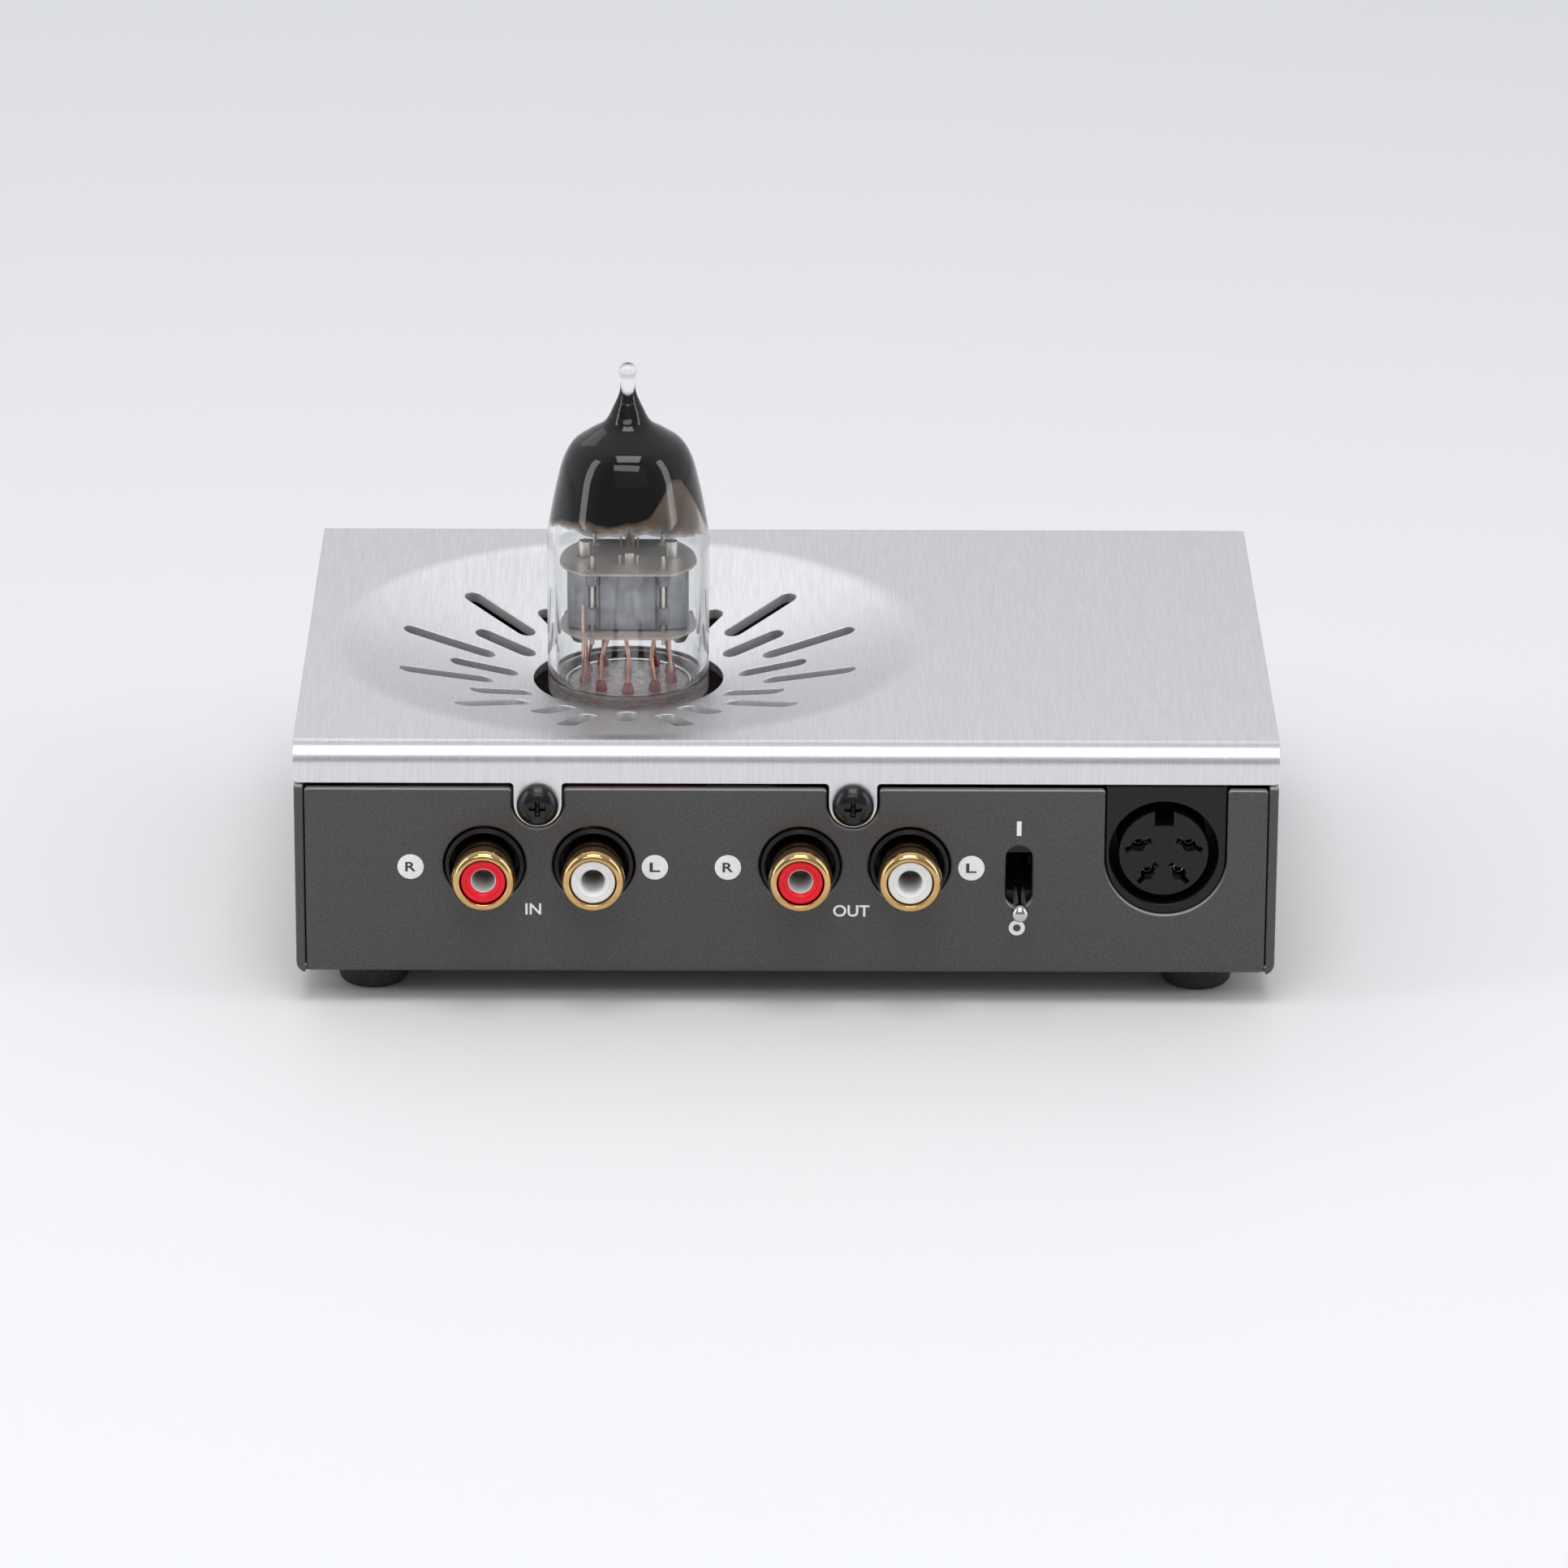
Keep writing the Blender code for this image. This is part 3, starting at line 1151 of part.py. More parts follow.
def build():
    """Empty the scene and build every piece."""
    for old in list(bpy.data.objects):
        bpy.data.objects.remove(old, do_unlink=True)
    build_cover()
    build_tray()
    build_screws()
    build_feet()
    build_board()
    build_capacitors()
    build_phono_jacks()
    build_toggle("power", POWER_X, PANEL_Y, POWER_Z, -1)
    build_toggle("gain", GAIN_X, FRONT_Y, CONTROL_Z, 1)
    build_inlet()
    build_headphone_jack()
    build_volume()
    build_lamp()
    build_socket()
    build_tube()


build()
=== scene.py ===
# %% [markdown]
# # A small desktop tube amplifier
# The case is a brushed cover over a dark tray, and one miniature tube stands in a dish that is
# pressed into the cover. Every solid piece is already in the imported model, at its real size.
# This script loads that model, then dresses it: pieces whose curves show get a finer surface that
# stands for the plain solid, and all the others get a finish of their own.

import math

import bmesh
import bpy
import numpy as np
from mathutils import Euler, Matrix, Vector
from mathutils.geometry import delaunay_2d_cdt


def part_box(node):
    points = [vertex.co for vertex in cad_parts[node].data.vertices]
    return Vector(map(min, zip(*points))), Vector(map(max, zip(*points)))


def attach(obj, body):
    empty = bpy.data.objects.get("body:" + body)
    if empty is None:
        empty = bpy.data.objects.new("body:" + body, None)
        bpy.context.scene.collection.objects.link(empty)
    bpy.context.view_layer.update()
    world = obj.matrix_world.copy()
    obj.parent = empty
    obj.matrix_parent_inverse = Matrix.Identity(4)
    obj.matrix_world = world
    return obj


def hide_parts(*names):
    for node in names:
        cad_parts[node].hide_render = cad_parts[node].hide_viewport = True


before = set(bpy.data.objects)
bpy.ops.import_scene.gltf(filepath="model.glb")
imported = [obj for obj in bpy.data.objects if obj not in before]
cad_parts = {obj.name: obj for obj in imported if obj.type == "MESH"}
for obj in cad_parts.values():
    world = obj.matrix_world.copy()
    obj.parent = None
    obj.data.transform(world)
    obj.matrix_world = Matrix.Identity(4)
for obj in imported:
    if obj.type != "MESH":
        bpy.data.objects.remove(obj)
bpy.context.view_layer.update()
print("solids:", len(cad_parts))

# %% [markdown]
# ## Places taken from the solids
# A finer piece has to sit exactly where its solid is, so the walls' places are read from the
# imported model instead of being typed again. All shapes below are worked out in millimetres,
# because those are the numbers that a maker would read off a drawing.

# %% Read the main places, in millimetres
MM = 0.001


def box_mm(node):
    """The lowest and the highest corner of a solid, in millimetres."""
    low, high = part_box(node)
    return np.array(low) / MM, np.array(high) / MM


HALF_WIDTH = box_mm("top_cover")[1][0]
PANEL_Y = box_mm("chassis_tray")[0][1]
FRONT_Y = box_mm("top_cover")[1][1]
COVER_TOP = box_mm("top_cover")[1][2]
TRAY_LOW, TRAY_HIGH = box_mm("chassis_tray")
TUBE_X, TUBE_Y = np.mean(box_mm("glass_envelope"), axis=0)[:2]
print(f"panel at Y {PANEL_Y:.2f}, control front at Y {FRONT_Y:.2f}, tube at {TUBE_X:.2f}, {TUBE_Y:.2f}")

# %% [markdown]
# ## The camera
# The view is that of a long lens from a metre away, looking down on the jack panel by twenty
# degrees. The position and the lens were found by matching the case's corners, so the model
# lands on the same part of the picture. A long lens keeps parallel edges nearly parallel.

# %% Set the camera
camera_data = bpy.data.cameras.new("long_lens")
camera_data.sensor_width = 36.0
camera_data.lens = 191.3
camera_data.clip_start = 0.05
camera_data.clip_end = 50.0
camera = bpy.data.objects.new("long_lens", camera_data)
bpy.context.scene.collection.objects.link(camera)
camera.location = (-0.0054, -1.0516, 0.4057)
LOOK_DOWN = math.radians(20.49)
LOOK_RIGHT = math.radians(0.291)
ROLL = math.radians(0.267)
level = Euler((math.pi / 2 - LOOK_DOWN, 0.0, -LOOK_RIGHT), "XYZ").to_matrix()
camera.rotation_euler = (level @ Euler((0.0, 0.0, ROLL), "XYZ").to_matrix()).to_euler()
bpy.context.scene.camera = camera
bpy.context.scene.view_settings.view_transform = "Standard"
print("camera looks down by", round(math.degrees(LOOK_DOWN), 1), "degrees")

# %% [markdown]
# ## A small studio
# Brushed metal, plated brass and glass show their surroundings more than their own colour, so the
# studio is part of their look. A pale floor, a wide lamp overhead and a strip on each side give
# the long soft reflections of a product photograph. A wide, low lamp above the camera draws the
# bright streak along the cover's rear bend, and one beyond the case lights the dish's far side.
# The world adds a pale fill, which is dimmer on the camera's side.


# %% Floor, lamps and world
def soft_lamp(name, place, aim, width, depth, power):
    """A rectangular area lamp that faces a point."""
    data = bpy.data.lights.new(name, "AREA")
    data.shape = "RECTANGLE"
    data.size = width
    data.size_y = depth
    data.energy = power
    lamp = bpy.data.objects.new(name, data)
    lamp.location = place
    away = np.array(place) - np.array(aim)
    turn = math.atan2(away[0], -away[1])
    lean = math.atan2(math.hypot(away[0], away[1]), away[2])
    lamp.rotation_euler = (lean, 0.0, turn)
    bpy.context.scene.collection.objects.link(lamp)


def plain_material(name, colour, roughness):
    """A matt surface of one colour, for the floor."""
    made = bpy.data.materials.new(name)
    made.use_nodes = True
    shader = made.node_tree.nodes["Principled BSDF"]
    shader.inputs["Base Color"].default_value = (*colour, 1.0)
    shader.inputs["Roughness"].default_value = roughness
    return made


floor_mesh = bpy.data.meshes.new("studio_floor")
REACH = 4.0
corners = [(-REACH, -REACH, 0.0), (REACH, -REACH, 0.0), (REACH, REACH, 0.0), (-REACH, REACH, 0.0)]
floor_mesh.from_pydata(corners, [], [(0, 1, 2, 3)])
floor_mesh.materials.append(plain_material("studio_floor", (0.88, 0.88, 0.885), 0.6))
floor = bpy.data.objects.new("studio_floor", floor_mesh)
floor.location.z = -0.0001
bpy.context.scene.collection.objects.link(floor)

world = bpy.data.worlds.new("studio_fill")
world.use_nodes = True
sky, sky_links = world.node_tree.nodes, world.node_tree.links
sky["Background"].inputs["Color"].default_value = (0.95, 0.965, 1.0, 1.0)
heading = sky.new("ShaderNodeTexCoord")
split = sky.new("ShaderNodeSeparateXYZ")
level_here = sky.new("ShaderNodeMapRange")
level_here.interpolation_type = "SMOOTHSTEP"
level_here.inputs["From Min"].default_value = -0.85
level_here.inputs["From Max"].default_value = 0.15
level_here.inputs["To Min"].default_value = 0.28
level_here.inputs["To Max"].default_value = 0.66
sky_links.new(heading.outputs["Generated"], split.inputs["Vector"])
sky_links.new(split.outputs["Y"], level_here.inputs["Value"])
sky_links.new(level_here.outputs["Result"], sky["Background"].inputs["Strength"])
bpy.context.scene.world = world

CENTRE = (0.0, 0.0, 0.03)
soft_lamp("overhead", (0.0, -0.34, 0.96), CENTRE, 0.56, 0.44, 2.9)
soft_lamp("front_top", (-0.05, -0.80, 0.78), CENTRE, 0.80, 0.24, 1.6)
soft_lamp("behind", (-0.25, 1.0, 0.9), CENTRE, 1.1, 0.6, 1.2)
soft_lamp("strip_left", (-0.75, -0.25, 0.35), CENTRE, 0.18, 0.7, 1.2)
soft_lamp("strip_right", (0.75, -0.25, 0.35), CENTRE, 0.18, 0.7, 1.2)
soft_lamp("front_fill", (0.15, -1.4, 0.8), CENTRE, 1.6, 0.9, 0.6)
print("studio: floor, world and 6 lamps")

# %% [markdown]
# ## Helpers for turned pieces
# Jacks, screws, feet, the knob and the tube are all round, and a lathe shape is the plainest way
# to make them: a profile of radius and height is carried round an axis. A dense profile with
# rounded corners catches the light along each edge, which a hard corner never does.


# %% Profiles and turned surfaces
def softened(corners, steps=4):
    """Round the corners of an open profile.

    Each corner is (radius, height, rounding). The curve runs from a point before the corner to a
    point after it and is pulled towards the corner: (1-s)^2 A + 2 s (1-s) P + s^2 B.
    """
    corners = np.asarray(corners, float)
    place = corners[:, :2]
    before = np.roll(place, 1, axis=0)
    after = np.roll(place, -1, axis=0)
    before[0], after[-1] = place[0], place[-1]
    to_before = before - place
    to_after = after - place
    reach_before = np.linalg.norm(to_before, axis=1, keepdims=True) + 1e-12
    reach_after = np.linalg.norm(to_after, axis=1, keepdims=True) + 1e-12
    rounding = np.minimum(corners[:, 2:3], 0.5 * np.minimum(reach_before, reach_after))
    start = (place + to_before / reach_before * rounding)[:, None, :]
    end = (place + to_after / reach_after * rounding)[:, None, :]
    s = np.linspace(0.0, 1.0, steps)[None, :, None]
    curve = (1 - s) ** 2 * start + 2 * s * (1 - s) * place[:, None, :] + s**2 * end
    flat = curve.reshape(-1, 2)
    step = np.linalg.norm(np.diff(flat, axis=0), axis=1)
    return flat[np.concatenate(([True], step > 1e-4))]


def smooth_through(points, steps=6):
    """A smooth curve through points: the Catmull-Rom cubic on each stretch, as whole arrays."""
    p = np.asarray(points, float)
    a = np.concatenate((p[:1], p[:-1]))[:-1]
    b, c = p[:-1], p[1:]
    d = np.concatenate((p[1:], p[-1:]))[1:]
    s = np.linspace(0.0, 1.0, steps, endpoint=False)[None, :, None]
    a, b, c, d = (v[:, None, :] for v in (a, b, c, d))
    curve = 2 * b + (c - a) * s + (2 * a - 5 * b + 4 * c - d) * s**2 + (3 * b - a - 3 * c + d) * s**3
    return np.concatenate((curve.reshape(-1, p.shape[1]) / 2, p[-1:]))


def grid_faces(rows, columns, wrap_rows=False):
    """The four-sided faces between the neighbours of a grid of points. Each row closes on itself."""
    row = np.arange(rows if wrap_rows else rows - 1)
    r, c = (v.ravel() for v in np.meshgrid(row, np.arange(columns), indexing="ij"))
    r_next, c_next = (r + 1) % rows, (c + 1) % columns
    here, there = r * columns, r_next * columns
    return np.stack((here + c, here + c_next, there + c_next, there + c), 1)


def placed(points, centre, axis):
    """Turn points made along +Z so that they run along the named axis, and move them."""
    x, y, z = np.asarray(points, float).T
    turned_points = {"+Z": (x, y, z), "-Y": (x, -z, y), "+Y": (-x, z, y), "-Z": (x, -y, -z)}[axis]
    return np.stack(turned_points, 1) + np.asarray(centre, float)


def turned(profile, centre, axis="+Z", sides=96, closed=False):
    """Carry a profile round an axis: x = r cos a, y = r sin a, z = h, for every r, h and angle."""
    radius, height = np.asarray(profile, float).T
    angle = 2 * np.pi * np.arange(sides) / sides
    x = np.outer(radius, np.cos(angle))
    y = np.outer(radius, np.sin(angle))
    z = np.repeat(height[:, None], sides, axis=1)
    points = np.stack((x, y, z), -1).reshape(-1, 3)
    return placed(points, centre, axis), grid_faces(len(radius), sides, wrap_rows=closed)


print("a softened square corner has", len(softened([(0, 0, 0), (1, 0, 0.2), (1, 1, 0)])), "points")

# %% [markdown]
# ## From arrays to a piece
# A surface becomes a Blender mesh with from_pydata. Points that fall on each other, as at a pole
# or where two grids meet, are merged, so that the piece is one closed skin. Its faces are then
# turned outwards and shaded smooth, apart from edges sharper than a set angle.


# %% Make a piece from points and faces
def joined(*shapes):
    """Several (points, faces) shapes as one: each shape's faces are moved on by the points before."""
    points = np.concatenate([shape[0] for shape in shapes])
    before = np.cumsum([0] + [len(shape[0]) for shape in shapes[:-1]])
    return points, np.concatenate([shape[1] + start for shape, start in zip(shapes, before)])


def hand_over(name, mesh, finish, body, stands_for=()):
    """Link a finished mesh at the origin, give it its finish and its body, and hide its solids."""
    mesh.materials.append(finish)
    made = bpy.data.objects.new(name, mesh)
    bpy.context.scene.collection.objects.link(made)
    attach(made, body)
    if stands_for:
        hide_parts(*stands_for)
    return made


def piece(name, shape, finish, body, slot, stands_for=(), sharp=38.0, merge=0.002, hollow=False):
    """One closed piece from (points, faces) in millimetres.

    A hollow piece has an inner skin that faces its cavity, so its faces keep the grid's order, and
    all are turned over where the volume inside them comes out negative.
    """
    points, faces = shape
    faces = faces.tolist() if isinstance(faces, np.ndarray) else faces
    mesh = bpy.data.meshes.new(name)
    mesh.from_pydata((np.asarray(points) * MM).tolist(), [], faces)
    work = bmesh.new()
    work.from_mesh(mesh)
    bmesh.ops.remove_doubles(work, verts=work.verts, dist=merge * MM)
    if not hollow:
        bmesh.ops.recalc_face_normals(work, faces=work.faces)
    elif work.calc_volume(signed=True) < 0:
        bmesh.ops.reverse_faces(work, faces=work.faces)
    work.to_mesh(mesh)
    work.free()
    mesh.shade_smooth()
    mesh.set_sharp_from_angle(angle=math.radians(sharp))
    return hand_over(name, mesh, finish, body, stands_for)


print("pieces are made in millimetres and handed over in metres")

# %% [markdown]
# ## Helpers for bent sheet
# The cover, the tray and the mica plates are sheet. A maker draws the flat pattern, punches it and
# then bends and presses it, and the script does the same. Booleans on a bent solid would leave
# ragged shading round each slot. Here the pattern is filled with triangles while it is still flat,
# and a function then says where each of its points lies once it is bent, and which way is out.


# %% Loops in the flat pattern
def arc(centre, radius, start, stop, steps):
    """Points on an arc, with its angles in degrees: centre + radius (cos a, sin a)."""
    angle = np.radians(np.linspace(start, stop, steps + 1))
    return np.asarray(centre) + radius * np.stack((np.cos(angle), np.sin(angle)), 1)


def slot_loop(near, far, width, direction, steps=14):
    """A straight slot with round ends, between two distances from the origin."""
    radius = width / 2
    ends = (arc((far - radius, 0), radius, -90, 90, steps), arc((near + radius, 0), radius, 90, 270, steps))
    points = np.concatenate(ends)
    turn = math.radians(direction)
    return points @ np.array([[math.cos(turn), math.sin(turn)], [-math.sin(turn), math.cos(turn)]])


def stepped(loop, step):
    """Add points along a closed loop so that none is further than a step from the next."""
    loop = np.asarray(loop, float)
    ahead = np.roll(loop, -1, axis=0) - loop
    count = np.maximum(1, np.ceil(np.linalg.norm(ahead, axis=1) / step)).astype(int)
    corner = np.repeat(np.arange(len(loop)), count)
    part = (np.arange(count.sum()) - np.repeat(np.cumsum(count) - count, count)) / count[corner]
    return loop[corner] + ahead[corner] * part[:, None]


def way_out(loop):
    """At each point of a loop, the way off the sheet: the mean of its two edges' right-hand sides."""
    edge = np.roll(loop, -1, axis=0) - loop
    edge = edge / np.linalg.norm(edge, axis=1, keepdims=True)
    side = np.stack((edge[:, 1], -edge[:, 0]), 1)
    before = np.roll(side, 1, axis=0)
    share = np.maximum(0.6, 1 + (side * before).sum(axis=1))
    return (side + before) / share[:, None]


def inside(points, loops):
    """Whether each point is on the sheet: a line from it crosses the loops an odd number of times."""
    answer = []
    for part in np.array_split(points, max(1, len(points) // 3000)):
        x, y = part[:, :1], part[:, 1:]
        odd = np.zeros(len(part), bool)
        for loop in loops:
            a, b = loop, np.roll(loop, -1, axis=0)
            rise = np.where(b[:, 1] == a[:, 1], 1.0, b[:, 1] - a[:, 1])
            meets = a[:, 0] + (y - a[:, 1]) * (b[:, 0] - a[:, 0]) / rise
            crosses = ((a[:, 1] > y) != (b[:, 1] > y)) & (x < meets)
            odd ^= crosses.sum(axis=1) % 2 == 1
        answer.append(odd)
    return np.concatenate(answer)


def clear_of(points, loops, distance):
    """Whether each point is further than a distance from every loop's points."""
    border = np.concatenate(loops)
    answer = []
    for part in np.array_split(points, max(1, len(points) // 1500)):
        apart = ((part[:, None, :] - border[None]) ** 2).sum(axis=2).min(axis=1)
        answer.append(apart > distance**2)
    return np.concatenate(answer)


print("a slot's loop has", len(slot_loop(14.7, 23.7, 2.6, 0)), "points")

# %% [markdown]
# A punched edge isn't a knife edge. Each loop is drawn a little inside the real outline on the
# face, and rows of points then carry it round a small quarter circle, down the wall and round
# again to the back. The normals are stored with the points, so the bends shade as true curves.
# Each point also stores how far it is down the cut wall, for a finish that is duller there.


# %% Fill the pattern, bend it and give it a thickness
def bent_sheet(name, loops, seeds, bend, thickness, edge, finish, body, slot, stands_for=(), turns=2):
    """Make a sheet from its flat pattern.

    bend(pattern) gives each pattern point's place on the outer face and the way out of it. A point
    at depth d lies at place - d * way out. At angle a of a rounded edge of radius e the pattern
    point moves in by e (1 - sin a), and lies e (1 - cos a) deep.
    """
    border = np.concatenate(loops)
    out = np.concatenate([way_out(loop) for loop in loops])
    first = np.cumsum([0] + [len(loop) for loop in loops[:-1]])
    following = np.arange(len(border)) + 1
    following[np.cumsum([len(loop) for loop in loops]) - 1] = first
    rim = border - edge * out
    kept = seeds[inside(seeds, loops)] if len(seeds) else np.zeros((0, 2))
    kept = kept[clear_of(kept, loops, edge + 0.22)] if len(kept) else kept
    given = np.concatenate((rim, kept))
    sides = np.stack((np.arange(len(rim)), following), 1)
    found = delaunay_2d_cdt(given.tolist(), sides.tolist(), [], 0, 1e-7, True)
    pattern = np.array([(p[0], p[1]) for p in found[0]])
    triangles = np.array(found[2])
    origin = found[3]
    count = np.array([len(ids) for ids in origin])
    index = np.zeros(len(given), int)
    given_ids = np.concatenate([np.array(ids, int) for ids in origin])
    index[given_ids] = np.repeat(np.arange(len(pattern)), count)
    rims = np.split(rim, first[1:])
    triangles = triangles[inside(pattern[triangles].mean(axis=1), rims)]

    face, normal = bend(pattern)
    outward = bend(border + 0.02 * out)[0] - bend(border)[0]
    outward /= np.linalg.norm(outward, axis=1, keepdims=True)
    points = [face, face - thickness * normal]
    normals = [normal, -normal]
    flat = [pattern, pattern]
    wall = [np.zeros(2 * len(pattern))]
    rows = [index[: len(rim)]]
    total = 2 * len(pattern)
    angles = np.linspace(0, np.pi / 2, turns + 1)[1:]
    for side, angle in [(1, a) for a in angles] + [(-1, a) for a in angles[::-1]]:
        here = border - edge * (1 - math.sin(angle)) * out
        place, up = bend(here)
        depth = edge * (1 - math.cos(angle))
        depth = depth if side > 0 else thickness - depth
        points.append(place - depth * up)
        normals.append(side * math.cos(angle) * up + math.sin(angle) * outward)
        flat.append(here)
        wall.append(np.full(len(border), math.sin(angle) ** 4))
        rows.append(total + np.arange(len(border)))
        total += len(border)
    rows.append(index[: len(rim)] + len(pattern))
    points, normals, flat = (np.concatenate(v) for v in (points, normals, flat))
    quads = [np.stack((a, b, b[following], a[following]), 1) for a, b in zip(rows, rows[1:])]
    quads = np.concatenate(quads)
    triangles = np.concatenate((triangles, triangles[:, ::-1] + len(pattern)))
    a, b, c = (points[triangles[: len(triangles) // 2, k]] for k in range(3))
    agreement = (np.cross(b - a, c - a) * normals[triangles[: len(triangles) // 2, 0]]).sum()
    if agreement < 0:
        triangles, quads = triangles[:, ::-1], quads[:, ::-1]

    mesh = bpy.data.meshes.new(name)
    mesh.from_pydata((points * MM).tolist(), [], triangles.tolist() + quads.tolist())
    mesh.shade_smooth()
    normals /= np.linalg.norm(normals, axis=1, keepdims=True)
    mesh.normals_split_custom_set_from_vertices(normals.tolist())
    cut = mesh.attributes.new("cut", "FLOAT", "POINT")
    cut.data.foreach_set("value", np.concatenate(wall).astype(np.float32))
    layer = mesh.uv_layers.new(name="pattern")
    corner = np.zeros(len(mesh.loops), np.int32)
    mesh.loops.foreach_get("vertex_index", corner)
    layer.data.foreach_set("uv", (flat[corner] * 0.01).astype(np.float32).ravel())
    print(f"{name}: {len(points)} points, {len(triangles) + 2 * len(quads)} triangles")
    return hand_over(name, mesh, finish, body, stands_for)


def along_bends(travel, radius, straights):
    """Follow a strip that turns a right angle after each straight length.

    On a bend the heading grows by travel / radius, so the strip moves by radius (sin, 1 - cos).
    Gives how far it went ahead and down, and its heading.
    """
    travel = np.maximum(np.asarray(travel, float), 0.0)
    ahead = np.zeros_like(travel)
    down = np.zeros_like(travel)
    heading = np.zeros_like(travel)
    start, turn = 0.0, 0.0
    for straight in straights:
        angle = np.clip((travel - start) / radius, 0.0, np.pi / 2)
        ahead += radius * (np.sin(turn + angle) - math.sin(turn))
        down += radius * (math.cos(turn) - np.cos(turn + angle))
        heading += angle
        start += radius * np.pi / 2
        turn += np.pi / 2
        flat = np.clip(travel - start, 0.0, straight)
        ahead += flat * math.cos(turn)
        down += flat * math.sin(turn)
        start += straight
    return ahead, down, heading


print("a 90 degree bend of radius 2.7 takes", round(float(2.7 * np.pi / 2), 2), "mm of sheet")

# %% [markdown]
# ## Finishes from nodes
# No picture files are used. A finish starts as one Principled shader, and noise read from Object
# coordinates adds what the real surface shows up close. Object coordinates are real metres here,
# so the scale of a noise is set by the size of the grain: 0.2 mm of grain is a scale of 5000.


# %% Build a finish
def finish(name, colour, roughness, metallic=0.0, **constants):
    """A Principled material. Each further value is set on the shader's own socket."""
    made = bpy.data.materials.new(name)
    made.use_nodes = True
    shader = made.node_tree.nodes["Principled BSDF"]
    shader.inputs["Base Color"].default_value = (*colour, 1.0)
    shader.inputs["Roughness"].default_value = roughness
    shader.inputs["Metallic"].default_value = metallic
    for socket, value in constants.items():
        shader.inputs[socket.replace("_", " ")].default_value = value
    return made


def grain(made, size, stretch=(1.0, 1.0, 1.0), detail=2.0):
    """Noise with grains of a size in metres; a stretch of 20 along an axis draws it out to 20 times."""
    nodes, links = made.node_tree.nodes, made.node_tree.links
    place = nodes.new("ShaderNodeTexCoord")
    mapping = nodes.new("ShaderNodeMapping")
    mapping.inputs["Scale"].default_value = [1.0 / s for s in stretch]
    pattern = nodes.new("ShaderNodeTexNoise")
    pattern.inputs["Scale"].default_value = 1.0 / size
    pattern.inputs["Detail"].default_value = detail
    links.new(place.outputs["Object"], mapping.inputs["Vector"])
    links.new(mapping.outputs["Vector"], pattern.inputs["Vector"])
    return pattern.outputs[0]


def share_between(made, value, start, stop):
    """How far a value has gone from start to stop, kept between 0 and 1."""
    change = made.node_tree.nodes.new("ShaderNodeMapRange")
    change.inputs["From Min"].default_value = start
    change.inputs["From Max"].default_value = stop
    made.node_tree.links.new(value, change.inputs["Value"])
    return change.outputs["Result"]


def out_of_the_panel(made, start, stop):
    """How far a point has come out of the jack panel: 0 at the Y of start, in metres, and 1 at stop."""
    nodes, links = made.node_tree.nodes, made.node_tree.links
    place = nodes.new("ShaderNodeTexCoord")
    split_place = nodes.new("ShaderNodeSeparateXYZ")
    links.new(place.outputs["Object"], split_place.inputs["Vector"])
    return share_between(made, split_place.outputs["Y"], start, stop)


def spread(made, value, low, high, socket, start=0.3, stop=0.7):
    """Send a noise to one of the shader's sockets, as low where it is at start, high at stop."""
    nodes, links = made.node_tree.nodes, made.node_tree.links
    change = nodes.new("ShaderNodeMapRange")
    change.inputs["From Min"].default_value = start
    change.inputs["From Max"].default_value = stop
    change.inputs["To Min"].default_value = low
    change.inputs["To Max"].default_value = high
    links.new(value, change.inputs["Value"])
    links.new(change.outputs["Result"], nodes["Principled BSDF"].inputs[socket])
    return change.outputs["Result"]


def two_tone(made, value, first, second, start=0.35, stop=0.65):
    """Send a noise to the base colour, from a first colour to a second."""
    nodes, links = made.node_tree.nodes, made.node_tree.links
    ramp = nodes.new("ShaderNodeValToRGB")
    ramp.color_ramp.elements[0].position = start
    ramp.color_ramp.elements[0].color = (*first, 1.0)
    ramp.color_ramp.elements[1].position = stop
    ramp.color_ramp.elements[1].color = (*second, 1.0)
    links.new(value, ramp.inputs["Fac"])
    links.new(ramp.outputs["Color"], nodes["Principled BSDF"].inputs["Base Color"])


def relief(made, height, depth, strength=0.5):
    """Let a noise tilt the surface, as if it stood up by a depth in metres."""
    nodes, links = made.node_tree.nodes, made.node_tree.links
    bump = nodes.new("ShaderNodeBump")
    bump.inputs["Distance"].default_value = depth
    bump.inputs["Strength"].default_value = strength
    links.new(height, bump.inputs["Height"])
    links.new(bump.outputs["Normal"], nodes["Principled BSDF"].inputs["Normal"])


def brushed_along(made, kind, **settings):
    """Give the highlight of a brushed or turned metal its direction: a tangent of a kind."""
    nodes, links = made.node_tree.nodes, made.node_tree.links
    direction = nodes.new("ShaderNodeTangent")
    direction.direction_type = kind
    for setting, value in settings.items():
        setattr(direction, setting, value)
    links.new(direction.outputs["Tangent"], nodes["Principled BSDF"].inputs["Tangent"])


# %% [markdown]
# ## Brushed aluminium
# The belt that brushes the sheet runs from front to back and leaves fine scratches of a few
# millimetres. The finish stretches noise along that direction for both the tone and the relief.
# Anisotropy then spreads the highlight across the scratches, with the pattern's own UV map as its
# direction, so that it follows the sheet over the bends. The walls that the punch cut are never
# brushed, so there the finish turns into a dull one.

